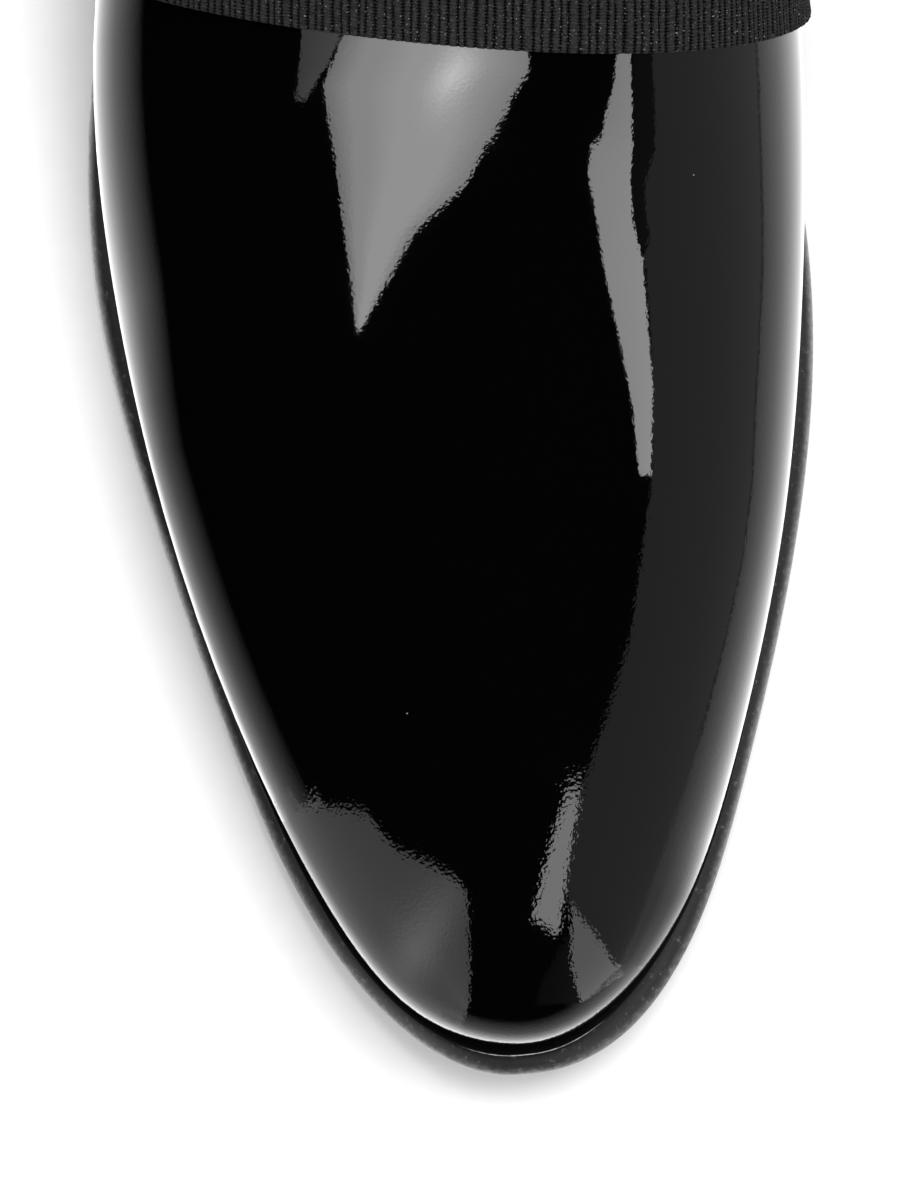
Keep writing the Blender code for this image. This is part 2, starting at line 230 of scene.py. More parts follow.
def patch(grid, close=False, flip=False, uv=None):
    """Quads over a grid of points; close joins the last column to the first."""
    rows, columns = grid.shape[:2]
    index = np.arange(rows * columns).reshape(rows, columns)
    if close:
        index = np.concatenate([index, index[:, :1]], axis=1)
    corners = [index[:-1, :-1], index[:-1, 1:], index[1:, 1:], index[1:, :-1]]
    quads = np.stack(corners, axis=-1).reshape(-1, 4)
    flat = np.zeros((rows * columns, 2)) if uv is None else uv.reshape(-1, 2)
    return {"points": grid.reshape(-1, 3), "faces": quads[:, ::-1] if flip else quads, "uv": flat}


def across_ring(ring, steps, flip=False, dish=0.0):
    """Grid of straight rungs from the lateral to the medial side of a ring, dished by the square of a
    sine."""
    half = len(ring) // 2
    lateral = ring[: half + 1]
    medial = np.concatenate([ring[:1], ring[:half - 1:-1]])
    share = np.linspace(0.0, 1.0, steps + 1)[None, :, None]
    grid = lateral[:, None] * (1.0 - share) + medial[:, None] * share
    grid[..., 2] -= dish * np.sin(np.pi * share[..., 0]) ** 2
    return patch(grid, flip=flip)


def placed(name, data):
    """New object in the scene for a mesh, a lens or a lamp."""
    made = bpy.data.objects.new(name, data)
    bpy.context.scene.collection.objects.link(made)
    return made


def make_piece(name, patches, material, merge=MERGE):
    """One mesh from patches that share their edges; points nearer than the merge distance become one."""
    sizes = [len(part["points"]) for part in patches]
    starts = np.cumsum([0] + sizes[:-1])
    points = to_row(np.concatenate([part["points"] for part in patches]))
    faces = np.concatenate([part["faces"] + start for part, start in zip(patches, starts)])
    uv = np.concatenate([part["uv"] for part in patches])
    mesh = bpy.data.meshes.new(name)
    mesh.from_pydata(points, [], faces.tolist())
    layer = mesh.uv_layers.new(name="surface")
    layer.data.foreach_set("uv", uv[faces.ravel()].astype(np.float32).ravel())
    bm = bmesh.new()
    bm.from_mesh(mesh)
    bmesh.ops.remove_doubles(bm, verts=bm.verts, dist=merge * MM)
    bmesh.ops.dissolve_degenerate(bm, edges=bm.edges, dist=SLIVER * MM)
    bm.to_mesh(mesh)
    bm.free()
    mesh.shade_smooth()
    mesh.materials.append(material)
    return placed(name, mesh)


def add_node(tree, kind, values=None, **settings):
    """Node with its settings, and its inputs set to values or linked to other nodes' outputs."""
    made = tree.nodes.new(kind)
    for key, value in settings.items():
        setattr(made, key, value)
    for key, value in (values or {}).items():
        if isinstance(value, bpy.types.NodeSocket):
            tree.links.new(value, made.inputs[key])
        else:
            made.inputs[key].default_value = value
    return made


def reckon(tree, operation, *terms):
    """Value worked out from one to three others by one operation, such as their product."""
    return add_node(tree, "ShaderNodeMath", dict(enumerate(terms)), operation=operation).outputs[0]


def noise(tree, place, waves, detail, roughness=0.5):
    """Soft random value with so many waves a metre."""
    return add_node(tree, "ShaderNodeTexNoise", {
        "Vector": place, "Scale": waves, "Detail": detail, "Roughness": roughness,
    }).outputs["Fac"]


def remap(tree, value, source, target=(0.0, 1.0), **settings):
    """Value carried from one range to another and held at the ends."""
    return add_node(tree, "ShaderNodeMapRange", {
        "Value": value, "From Min": source[0], "From Max": source[1],
        "To Min": target[0], "To Max": target[1],
    }, **settings).outputs["Result"]


def tint(tree, factor, first, second, **settings):
    """Colour between two others."""
    mixed = add_node(tree, "ShaderNodeMix", {"Factor": factor, "A": first, "B": second},
                     data_type="RGBA", **settings)
    return mixed.outputs[2]


def grey(tone):
    """Colour with three equal parts."""
    return (tone, tone, tone, 1.0)


def between(tree, factor, dark, light, **settings):
    """Grey between two tones."""
    return tint(tree, factor, grey(dark), grey(light), **settings)


def new_finish(name, object_place=True):
    """Empty material with its shader and the place that its patterns read: Object coordinates, or else the
    piece's own surface coordinates."""
    material = bpy.data.materials.new(name)
    material.use_nodes = True
    tree = material.node_tree
    if object_place:
        place = add_node(tree, "ShaderNodeTexCoord").outputs["Object"]
    else:
        place = add_node(tree, "ShaderNodeUVMap", uv_map="surface").outputs["UV"]
    return material, tree, tree.nodes["Principled BSDF"], place


def dress(tree, shader, colour, roughness, height, depth, strength):
    """Links a colour, a roughness and a relief of a depth in metres to the shader."""
    tree.links.new(colour, shader.inputs["Base Color"])
    tree.links.new(roughness, shader.inputs["Roughness"])
    bump = add_node(tree, "ShaderNodeBump", {"Strength": strength, "Distance": depth, "Height": height})
    tree.links.new(bump.outputs["Normal"], shader.inputs["Normal"])


def new_group(name, inputs, outputs):
    """Empty shader group with its named sockets, its input node and its output node."""
    tree = bpy.data.node_groups.new(name, "ShaderNodeTree")
    for way, sockets in (("INPUT", inputs), ("OUTPUT", outputs)):
        for socket, kind in sockets.items():
            tree.interface.new_socket(socket, in_out=way, socket_type="NodeSocket" + kind)
    return tree, add_node(tree, "NodeGroupInput"), add_node(tree, "NodeGroupOutput")


def leather_grain_group():
    """Fine natural grain: cells with soft creases between them. Height is the relief, Tone a slow change of
    colour."""
    tree, given, put = new_group("leather grain", {"Place": "Vector", "Cells": "Float"},
                                 {"Height": "Float", "Tone": "Float"})
    cells = add_node(tree, "ShaderNodeTexVoronoi", {
        "Vector": given.outputs["Place"], "Scale": given.outputs["Cells"], "Randomness": 0.9,
    }, feature="DISTANCE_TO_EDGE")
    crease = remap(tree, cells.outputs["Distance"], (0.0, 0.22), interpolation_type="SMOOTHSTEP")
    tree.links.new(crease, put.inputs["Height"])
    tree.links.new(noise(tree, given.outputs["Place"], waves=60.0, detail=3.0), put.inputs["Tone"])
    return tree


LEATHER_GRAIN = leather_grain_group()


def soft_leather(name, dark, light, cells, depth, roughness):
    """Matt leather between two close tones, with a number of grain cells a metre and their depth in
    metres."""
    material, tree, shader, place = new_finish(name)
    grain = add_node(tree, "ShaderNodeGroup", {"Place": place, "Cells": cells}, node_tree=LEATHER_GRAIN)
    tone, spread = grain.outputs["Tone"], 0.08
    dress(tree, shader, between(tree, tone, dark, light),
          remap(tree, tone, (0.0, 1.0), (roughness - spread, roughness + spread)),
          grain.outputs["Height"], depth, strength=0.6)
    return material


sock_rings = swept(lambda inset: sole_ring(0.0, INSOLE_INSET + inset), np.add(SOCK_EDGE, (0.0, OUTSOLE_TOP)))
insole = make_piece("insole_and_sock", [
    patch(sock_rings, close=True, flip=True),
    across_ring(sock_rings[0], steps=24, flip=True, dish=SOCK_DISH),
    across_ring(sock_rings[-1], steps=2),
], soft_leather("black sock leather", dark=0.012, light=0.021, cells=900.0, depth=0.00008, roughness=0.55))
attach(insole, "root")
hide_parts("insole")

# Upper
# One whole-cut piece of black patent leather, closed at the back of the heel and lasted smooth over the toe.
# The patent is folded over the collar's edge and stitched down below it.
TOE_FAN, HEEL_FAN = 26.0, 40.0
THROAT, CUTTER_REACH = 134.0, 70.0
TOPLINE_COLUMNS = ("lateral", "medial")
TOPLINE = ((82.0, 82.0), (77.0, 77.5), (67.0, 71.0), (71.0, 74.5))
PATENT_WALL = 1.3
BACK_COLUMNS, FRONT_COLUMNS, WALL_ROWS, DOME_ROWS = 130, 130, 12, 48
RIM_STEPS, RIM_BULGE = 8, 0.8
DOME_FACING, HALVINGS = 0.25, 40
SEAM_DEPTH, SEAM_WIDTH, SEAM_FADE = 0.35, 0.8, 25.0
SWELL_WAVES, SWELL_WEIGHT, PEEL_WAVES, PEEL_DEPTH = 110.0, 1.5, 1900.0, 0.0000075
DRAWN_SPAN, DRAWN_PEEL = (0.07, 0.125), (1.0, 2.4)
DUST_CELLS, DUST_SPECK = 90.0, (0.007, 0.0125)
FILM_TONE, DUST_TONE, FILM_ROUGHNESS, FILM_IOR = 0.0006, 0.2, (0.025, 0.055), 1.5


def spine_plan(along):
    """Where a column's plan line meets the middle: straight across, but fanned round the toe and the heel by
    hyperbolas in the distance from each end."""
    from_heel = station_at(along) - HEEL_BACK
    from_toe = UPPER_LENGTH - from_heel
    forward = np.hypot(from_heel, HEEL_FAN) - from_heel
    back = np.hypot(from_toe, TOE_FAN) - from_toe
    spine = station_at(along) + forward - back
    return np.stack([spine, middle_at(along_at(spine))], axis=-1)


def ridge_height(station):
    """Height of the dome over the last's middle."""
    return float(dome(np.array(station), middle_at(along_at(np.array(station))))[2])


TOPLINE_CURVES = [
    smooth_curve([row[TOPLINE_COLUMNS.index(name)] for row in TOPLINE] + [ridge_height(THROAT)], False)
    for name in TOPLINE_COLUMNS
]


def topline_height(points):
    """Topline seen from the side: one curve at the lateral face and one at the medial face, ruled between."""
    share = (points[..., 0] - HEEL_BACK) / (THROAT - HEEL_BACK)
    medial_part = (points[..., 1] + CUTTER_REACH) / (2.0 * CUTTER_REACH)
    return TOPLINE_CURVES[0](share) * (1.0 - medial_part) + TOPLINE_CURVES[1](share) * medial_part


def bisect(is_low, low, high):
    """Halves the span between low and high again and again, keeping the part where is_low turns to false."""
    for _ in range(HALVINGS):
        middle = (low + high) / 2.0
        under = is_low(middle)
        low, high = np.where(under, middle, low), np.where(under, high, middle)
    return (low + high) / 2.0


THROAT_ALONG = float(bisect(lambda along: spine_plan(along)[..., 0] < THROAT, np.array(0.0), np.array(1.0)))
UPPER_ALONG = np.concatenate([
    THROAT_ALONG * (1.0 - np.cos(np.pi * np.arange(BACK_COLUMNS) / BACK_COLUMNS)) / 2.0,
    THROAT_ALONG + (1.0 - THROAT_ALONG) * np.linspace(0.0, 1.0, FRONT_COLUMNS + 1),
])


def unit(vectors):
    """Vectors over their own lengths."""
    return vectors / np.maximum(np.linalg.norm(vectors, axis=-1, keepdims=True), 1e-12)


def dome_normal(station, side):
    """Outward unit normal of the dome: its run along the shoe crossed with its run across."""
    step = 0.05
    run = dome(station + step, side) - dome(station - step, side)
    rise = dome(station, side + step) - dome(station, side - step)
    return unit(np.cross(run, rise))


def upper_half(hand):
    """Outer skin of one half and its normals: columns from heel to toe, rows up the wall and then from the
    widest line towards the spine, as far as the topline behind the throat."""
    outer, spine = widest_plan(UPPER_ALONG, hand), spine_plan(UPPER_ALONG)

    def on_column(share):
        """Dome at a share of each column's plan line."""
        plan = outer + share[:, None] * (spine - outer)
        return dome(plan[:, 0], plan[:, 1])

    def below_topline(share):
        """Whether that place is under the topline."""
        points = on_column(share)
        return points[:, 2] < topline_height(points)

    reach = bisect(below_topline, np.zeros_like(UPPER_ALONG), np.ones_like(UPPER_ALONG))
    reach[BACK_COLUMNS:] = 1.0
    depth = 1.0 - np.arange(WALL_ROWS) / WALL_ROWS
    lower = [wall(UPPER_ALONG, hand, np.full_like(UPPER_ALONG, share)) for share in depth]
    share = 1.0 - np.cos(np.pi / 2 * np.arange(DOME_ROWS + 1) / DOME_ROWS)
    grid = np.stack(lower + [on_column(reach * part) for part in share], axis=1)
    facing = -hand * unit(np.cross(np.gradient(grid, axis=0), np.gradient(grid, axis=1)))
    high = share[share > DOME_FACING]
    plan = outer[:, None] + (reach[:, None] * high)[..., None] * (spine - outer)[:, None]
    facing[:, -len(high):] = dome_normal(plan[..., 0], plan[..., 1])
    return grid, facing


skin, facing = {}, {}
for hand in (LATERAL, MEDIAL):
    skin[hand], facing[hand] = upper_half(hand)
for shared in ((0, slice(None)), (-1, slice(None)), (slice(BACK_COLUMNS, None), -1)):
    level = unit(facing[LATERAL][shared] + facing[MEDIAL][shared])
    facing[LATERAL][shared] = facing[MEDIAL][shared] = level
outside, flesh = {}, {}
for hand in skin:
    seam = np.exp(-((skin[hand][..., 1] / SEAM_WIDTH) ** 2)) * (skin[hand][..., 0] < SEAM_FADE)
    outside[hand] = skin[hand] - (SEAM_DEPTH * seam)[..., None] * facing[hand]
    flesh[hand] = skin[hand] - PATENT_WALL * facing[hand]


def round_collar(grids, throat):
    """Top row of both halves as one ring: lateral side from the heel to the throat's column, medial side
    back."""
    return np.concatenate([grids[LATERAL][: throat + 1, -1], grids[MEDIAL][throat - 1 : 0 : -1, -1]])


def round_feather(grids):
    """Bottom row of both halves as one ring: lateral side from the heel to the toe, medial side back."""
    return np.concatenate([grids[LATERAL][:, 0], grids[MEDIAL][-2:0:-1, 0]])


def shell(outer, inner, rim):
    """Patches of a closed wall: both faces of both halves, the rim round the collar and the lower edge."""
    patches = [
        patch(rim, close=True),
        patch(np.stack([round_feather(outer), round_feather(inner)]), close=True, flip=True),
    ]
    for hand in outer:
        patches.append(patch(outer[hand].swapaxes(0, 1), flip=hand == MEDIAL))
        patches.append(patch(inner[hand].swapaxes(0, 1), flip=hand == LATERAL))
    return patches


collar_edge, collar_inner, collar_face = (
    round_collar(grids, BACK_COLUMNS) for grids in (outside, flesh, facing)
)
collar_run = np.roll(collar_edge, -1, axis=0) - np.roll(collar_edge, 1, axis=0)
collar_out = unit(np.cross(collar_face, collar_run))
turn = np.pi * np.arange(RIM_STEPS + 1)[:, None, None] / RIM_STEPS
collar_rim = (
    (collar_edge + collar_inner) / 2.0 + np.cos(turn) * (collar_edge - collar_inner) / 2.0
    + RIM_BULGE * np.sin(turn) * collar_out
)


def patent_finish():
    """Black film with a mirror gloss: a fine orange peel over a slow swell, coarser where it is drawn over
    the toe, and a few specks of dust."""
    material, tree, shader, place = new_finish("black patent leather")
    swell = noise(tree, place, SWELL_WAVES, detail=2.0)
    orange_peel = noise(tree, place, PEEL_WAVES, detail=1.0, roughness=0.4)
    peel = reckon(tree, "MULTIPLY_ADD", swell, SWELL_WEIGHT, orange_peel)
    forward = add_node(tree, "ShaderNodeSeparateXYZ", {"Vector": place}).outputs["X"]
    drawn = reckon(tree, "MULTIPLY", peel, remap(tree, forward, DRAWN_SPAN, DRAWN_PEEL))
    dust = add_node(tree, "ShaderNodeTexVoronoi", {"Vector": place, "Scale": DUST_CELLS})
    speck = remap(tree, dust.outputs["Distance"], DUST_SPECK, (1.0, 0.0))
    dress(tree, shader, between(tree, speck, FILM_TONE, DUST_TONE),
          remap(tree, swell, (0.3, 0.7), FILM_ROUGHNESS), drawn, PEEL_DEPTH, strength=1.0)
    shader.inputs["IOR"].default_value = FILM_IOR
    return material


upper = make_piece("patent_upper", shell(outside, flesh, collar_rim), patent_finish())
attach(upper, "root")
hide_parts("upper")

# Lining
# Thin soft black leather glued to the back of the patent from the feather edge up, with a fine grain. It is
# trimmed a little below the folded collar edge.
LINING_FACE, LINING_STEP, LINING_TRIM, TRIM_POWER = PATENT_WALL + 0.05, 2, 0.4, 6

lining_throat = BACK_COLUMNS // LINING_STEP
trim = LINING_TRIM * (1.0 - (np.arange(lining_throat + 1) / lining_throat) ** TRIM_POWER)[:, None]
lining_back, lining_front = {}, {}
for layer, depth in ((lining_back, LINING_FACE), (lining_front, WALL)):
    for hand in skin:
        grid = (skin[hand] - depth * facing[hand])[::LINING_STEP, ::LINING_STEP]
        top = grid[: lining_throat + 1]
        top[:, -1] += trim * (top[:, -2] - top[:, -1])
        layer[hand] = grid
lining_rim = np.stack([round_collar(layer, lining_throat) for layer in (lining_back, lining_front)])
lining = make_piece("upper_lining", shell(lining_back, lining_front, lining_rim), soft_leather(
    "black lining leather", dark=0.011, light=0.019, cells=700.0, depth=0.0001, roughness=0.6))
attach(lining, "root")

# Collar stitches
# A single row of twisted black thread just under the folded edge, which holds the fold down. Its stitches
# are sunk a little into the patent leather.
STITCH_PITCH, STITCH_LENGTH, STITCH_RADIUS, STITCH_DROP, STITCH_LIFT = 2.6, 1.9, 0.2, 2.4, 0.05
STITCH_RINGS, STITCH_SIDES = 7, 8
THREAD_TONES, THREAD_ROUGHNESS, THREAD_TWIST = (0.008, 0.03), (0.7, 0.5), 900.0


def stitch_row(path, lift, side_of):
    """Short rounded stitches laid end to end with gaps along a closed path: circles round a straight run,
    drawn in at both ends by the root of one less the fourth power of the place along the stitch."""
    step = np.linalg.norm(np.roll(path, -1, axis=0) - path, axis=1)
    length = np.concatenate([[0.0], np.cumsum(step)])
    count = int(length[-1] / STITCH_PITCH)
    along = np.linspace(-1.0, 1.0, STITCH_RINGS)
    spot = (np.arange(count)[:, None] * length[-1] / count + along * STITCH_LENGTH / 2.0) % length[-1]

    def at_spots(values):
        """Values of the path at each ring of each stitch, taken straight between its points."""
        looped = np.concatenate([values, values[:1]])
        return np.stack([np.interp(spot, length, looped[:, k]) for k in range(3)], axis=-1)[:, :, None]

    radius = (STITCH_RADIUS * np.sqrt(1.0 - along**4))[None, :, None, None]
    angle = 2.0 * np.pi * np.arange(STITCH_SIDES)[:, None] / STITCH_SIDES
    return at_spots(path) + radius * (np.cos(angle) * at_spots(lift) + np.sin(angle) * at_spots(side_of))


def thread_finish():
    """Twisted thread: slanting ridges along the stitch."""
    material, tree, shader, place = new_finish("black thread")
    twist = add_node(tree, "ShaderNodeTexWave", {"Vector": place, "Scale": THREAD_TWIST, "Distortion": 1.0},
                     bands_direction="DIAGONAL").outputs["Fac"]
    dress(tree, shader, between(tree, twist, *THREAD_TONES),
          remap(tree, twist, (0.0, 1.0), THREAD_ROUGHNESS), twist, depth=0.00005, strength=0.5)
    return material


stitch_path = collar_edge - STITCH_DROP * collar_out + STITCH_LIFT * collar_face
stitches = [patch(one, close=True, flip=True) for one in stitch_row(stitch_path, collar_face, collar_out)]
thread = make_piece("collar_stitches", stitches, thread_finish(), merge=FINE_MERGE)
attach(thread, "root")

# Grosgrain band
# A matt black ribbon with stout crosswise ribs, laid flat over the instep and caught under the sole on both
# sides. Its ribs run along the foot; fine warp threads pass over them, and the edges are woven selvedges.
BAND_FRONT, BAND_WIDTH, BAND_LEAN, BAND_SKEW, LEAN_ROUNDS = 171.7, 24.0, 0.37, 0.10, 12
BAND_REACH, BAND_BOTTOM, BAND_TOP, ARC_STEPS = 1.88, 0.12, 1.1, 4001
RIB_PITCH, RIB_HEIGHT, RIB_SAMPLES, WARP_PITCH = 1.27, 0.5, 8, 0.42
RIB_BLUNT, RIB_VARY, RIB_BEATS, END_RIBS = 0.5, 0.12, (12.9898, 4.1), 3.0
EDGE_ROUND, EDGE_STEPS, EDGE_RIB, FLAT_START, FLAT_STEPS = 0.014, 5, 0.35, 0.03, 22
HOLLOW_SHADE_AND_CLOTH_TONES, FIBRE_GLINT_TONE, CLOTH_ROUGHNESS, CLOTH_SHINE = (0.0004, 0.016), 0.15, (0.7, 0.95), 0.08
WAVE_RADIANS, WARP_BEAD, WARP_RELIEF, SHADED_HOLLOW = 20.0, 0.55, 0.35, (0.42, 1.08)
MOTTLE_STRETCH, MOTTLE_LIGHT, FIBRE_GLINT_LIMIT = (1.0, 3.2, 1.0), (0.45, 1.45), (0.66, 0.76)


def over_the_foot(station, across):
    """Skin of the last at a station: across runs from -2 at the lateral feather edge to 2 at the medial one,
    with the widest lines at -1 and 1 and a sine between them."""
    along = along_at(station)
    flat = np.sin(np.pi / 2 * np.clip(across, -1.0, 1.0))
    points = dome(station, middle_at(along) + flat * half_width_at(along))
    for hand in (LATERAL, MEDIAL):
        depth = np.clip(hand * across - 1.0, 0.0, 1.0)
        points = np.where((hand * across > 1.0)[..., None], wall(along, hand, depth), points)
    return points


def under_band(across, share):
    """Skin under the band at a share of its width from the front edge, which leans back with the drop from
    the ridge and is skewed; the station is found by repeating that rule."""
    start = BAND_FRONT - BAND_WIDTH * share
    top = LAST["crown"](along_at(start)) + widest_height(along_at(start), 0.0)
    station = start + 0.0 * across
    for _ in range(LEAN_ROUNDS):
        points = over_the_foot(station, across)
        station = start - BAND_LEAN * (top - points[..., 2]) + BAND_SKEW * points[..., 1]
    return over_the_foot(station, across)


def under_band_normal(across, share):
    """Outward unit normal of that skin: its run along the band crossed with its run over the width."""
    step = 0.01
    run = under_band(across + step, share) - under_band(across - step, share)
    back = under_band(across, share + step) - under_band(across, share - step)
    return unit(np.cross(run, back))


def wave(place, swing, length, phase=0.0):
    """Sine of a swing with a wave's length and phase."""
    return swing * np.sin(2.0 * np.pi * place / length + phase)


fine = np.linspace(-BAND_REACH, BAND_REACH, ARC_STEPS)
middle_line = under_band(fine, np.full_like(fine, 0.5))
arc = np.concatenate([[0.0], np.cumsum(np.linalg.norm(np.diff(middle_line, axis=0), axis=1))])
rib_count = int(arc[-1] / RIB_PITCH)
rib_place = np.linspace(0.0, rib_count, rib_count * RIB_SAMPLES + 1)
edge_turn = np.linspace(0.0, np.pi / 2, EDGE_STEPS)
front_round = EDGE_ROUND * (1.0 - np.cos(edge_turn))
flat = np.linspace(FLAT_START, 1.0 - FLAT_START, FLAT_STEPS)
band_share = np.concatenate([front_round, flat, 1.0 - front_round[::-1]])
edge_lift = np.concatenate([np.sin(edge_turn), np.ones(FLAT_STEPS), np.sin(edge_turn[::-1])])
place_grid, share_grid = np.meshgrid(rib_place, band_share, indexing="ij")
width_grid = share_grid * BAND_WIDTH

# Each rib keeps its own row of points, so its width and a slight waver move the rows of points with it.
rib_index = np.floor(place_grid)
uneven = wave(place_grid, swing=0.11, length=2.7) + wave(place_grid, swing=0.08, length=5.3, phase=1.0)
waver = wave(width_grid, swing=0.035, length=7.1, phase=0.9 * rib_index)
near_end = np.clip(np.minimum(place_grid, rib_count - place_grid) / END_RIBS, 0.0, 1.0)
rib_line = place_grid + near_end * (uneven + waver)
across_grid = np.interp(rib_line / rib_count * arc[-1], arc, fine)
band_skin, band_face = under_band(across_grid, share_grid), under_band_normal(across_grid, share_grid)
beat = np.sin(rib_index * RIB_BEATS[0]) * np.sin(rib_index * RIB_BEATS[1] + 1.0)
knots = 1.0 + wave(width_grid, swing=0.08, length=1.9, phase=2.4 * rib_index)
crest = np.abs(np.sin(np.pi * place_grid)) ** RIB_BLUNT
rib = RIB_HEIGHT * (1.0 - RIB_VARY + RIB_VARY * beat) * knots * crest
thick = (BAND_TOP - BAND_BOTTOM) * edge_lift + rib * (EDGE_RIB + (1.0 - EDGE_RIB) * edge_lift)
band_under = band_skin + BAND_BOTTOM * band_face
band_surface = band_under + thick[..., None] * band_face
band_uv = np.stack([place_grid * RIB_PITCH, width_grid], axis=-1) * MM


def grosgrain_finish():
    """Ribbed ribbon: the hollows between ribs are coloured black as painted shade, beaded by the warp threads
    that dive into them;
    the ribs' backs are mottled, and pale specks on a few loose fibres are painted glints. The pattern follows
    the ribbon's own length and width in metres."""
    material, tree, shader, place = new_finish("black grosgrain", object_place=False)
    length = add_node(tree, "ShaderNodeSeparateXYZ", {"Vector": place}).outputs["X"]
    swing = reckon(tree, "SINE", reckon(tree, "MULTIPLY", length, math.pi / (RIB_PITCH * MM)))
    warp = add_node(tree, "ShaderNodeTexWave", {
        "Vector": place, "Scale": 2.0 * math.pi / (WAVE_RADIANS * WARP_PITCH * MM),
        "Distortion": 5.0, "Detail": 2.0, "Detail Scale": 0.4,
    }, bands_direction="Y").outputs["Fac"]
    beaded = reckon(tree, "MULTIPLY_ADD", warp, WARP_BEAD, reckon(tree, "ABSOLUTE", swing))
    # Painted shade: the hollows between the ribs get the first, near-black tone and the ribs' backs the cloth
    # tone.
    back = remap(tree, beaded, SHADED_HOLLOW, interpolation_type="SMOOTHSTEP")
    stretched = add_node(tree, "ShaderNodeMapping", {"Vector": place, "Scale": MOTTLE_STRETCH}).outputs[0]
    mottle = noise(tree, stretched, waves=800.0, detail=2.0, roughness=0.65)
    lit = reckon(tree, "MULTIPLY", back, remap(tree, mottle, (0.3, 0.7), MOTTLE_LIGHT))
    cloth_and_hollow_shade = between(tree, lit, *HOLLOW_SHADE_AND_CLOTH_TONES, clamp_factor=False)
    # Painted highlight: where a close noise passes a limit, specks are coloured pale as glints on loose
    # fibres.
    fibre = remap(tree, noise(tree, place, waves=3300.0, detail=1.0), FIBRE_GLINT_LIMIT)
    dress(tree, shader, tint(tree, fibre, cloth_and_hollow_shade, grey(FIBRE_GLINT_TONE)),
          remap(tree, mottle, (0.0, 1.0), CLOTH_ROUGHNESS),
          reckon(tree, "MULTIPLY_ADD", warp, WARP_RELIEF, mottle), depth=0.0002, strength=1.0)
    shader.inputs["Specular IOR Level"].default_value = CLOTH_SHINE
    return material


band_patches = [patch(band_surface, uv=band_uv, flip=True), patch(band_under, uv=band_uv)]
for side, flip in ((np.s_[0], True), (np.s_[-1], False), (np.s_[:, 0], False), (np.s_[:, -1], True)):
    edge_uv = np.stack([band_uv[side], band_uv[side]])
    band_patches.append(patch(np.stack([band_under[side], band_surface[side]]), flip=flip, uv=edge_uv))
band = make_piece("ribbed_band", band_patches, grosgrain_finish())
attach(band, "root")
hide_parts("grosgrain_band")

# Welt
# A thin black leather strip round the feather edge, its outer lip pressed round. Its tones are kept darker
# than the sole's as painted shade of the crease beside the upper, and a stretch of its lip at the toe is
# coloured white as a painted highlight.
WELT_SHARE, WELT_TRIM = 0.5, 0.75
WELT_PROFILE = (
    (0.9, 0.0), (0.35, 0.05), (0.08, 0.25), (0.0, 0.6), (0.0, 1.0), (0.08, 1.3), (0.3, 1.52), (0.7, 1.6),
)
LIP_START, LIP_FULL, LIP_END, LIP_REACH, LIP_SIDE = 1.4, 1.75, 2.1, 12.5, 2.9
FIBRE_WAVES, FIBRE_CELLS, SCUFF_TONE, SCUFF_LIMIT = 1100.0, 2200.0, 0.2, (0.58, 0.74)
PAINTED_LIGHT_FIBRE, PAINTED_LIGHT_BREAK, PAINTED_LIGHT_FADE, WAX_ROUGHNESS = (0.36, 0.6), (0.1, 1.0), (0.4, 1.0), (0.36, 0.6)


def surface_run(rings):
    """Surface coordinates in metres: distance round each ring, and distance down from the first ring."""
    around = np.linalg.norm(np.diff(rings, axis=1, prepend=rings[:, :1]), axis=-1).cumsum(axis=1)
    down = np.linalg.norm(np.diff(rings, axis=0, prepend=rings[:1]), axis=-1).cumsum(axis=0)
    return np.stack([around, down], axis=-1) * MM


def sole_wear_and_painted_light_group():
    """Wear and painted light on waxed sole leather. Fibre is a close noise, Mark shows scuffs where the fibre
    passes a limit, and the third output is a stretch down the profile from Start over Full to End, out to a
    Reach from a Middle, broken up by the fibre, which marks painted light: a painted highlight on the welt's
    lip and a painted reflection on the outsole's edge."""
    tree, given, put = new_group("sole wear and painted light", {
        "Place": "Vector", "Surface": "Vector", "Start": "Float", "Full": "Float", "End": "Float",
        "Middle": "Vector", "Reach": "Float",
    }, {"Fibre": "Float", "Mark": "Float", "Painted Light": "Float"})
    socket = given.outputs
    fibre = noise(tree, socket["Place"], FIBRE_WAVES, detail=4.0, roughness=0.75)
    tree.links.new(fibre, put.inputs["Fibre"])
    tree.links.new(remap(tree, fibre, SCUFF_LIMIT), put.inputs["Mark"])
    down = add_node(tree, "ShaderNodeSeparateXYZ", {"Vector": socket["Surface"]}).outputs["Y"]
    off = add_node(tree, "ShaderNodeVectorMath", {0: socket["Place"], 1: socket["Middle"]},
                   operation="DISTANCE")
    near = reckon(tree, "DIVIDE", off.outputs["Value"], socket["Reach"])
    # Painted light: this stretch marks where the sole pieces are coloured paler in place of a highlight or a
    # reflection.
    painted_light = remap(tree, fibre, PAINTED_LIGHT_FIBRE, PAINTED_LIGHT_BREAK)
    for part in (
        remap(tree, down, (socket["Start"], socket["Full"]), interpolation_type="SMOOTHSTEP"),
        remap(tree, down, (socket["Full"], socket["End"]), (1.0, 0.0)),
        remap(tree, near, PAINTED_LIGHT_FADE, (1.0, 0.0)),
    ):
        painted_light = reckon(tree, "MULTIPLY", painted_light, part)
    tree.links.new(painted_light, put.inputs["Painted Light"])
    return tree


SOLE_WEAR_AND_PAINTED_LIGHT = sole_wear_and_painted_light_group()


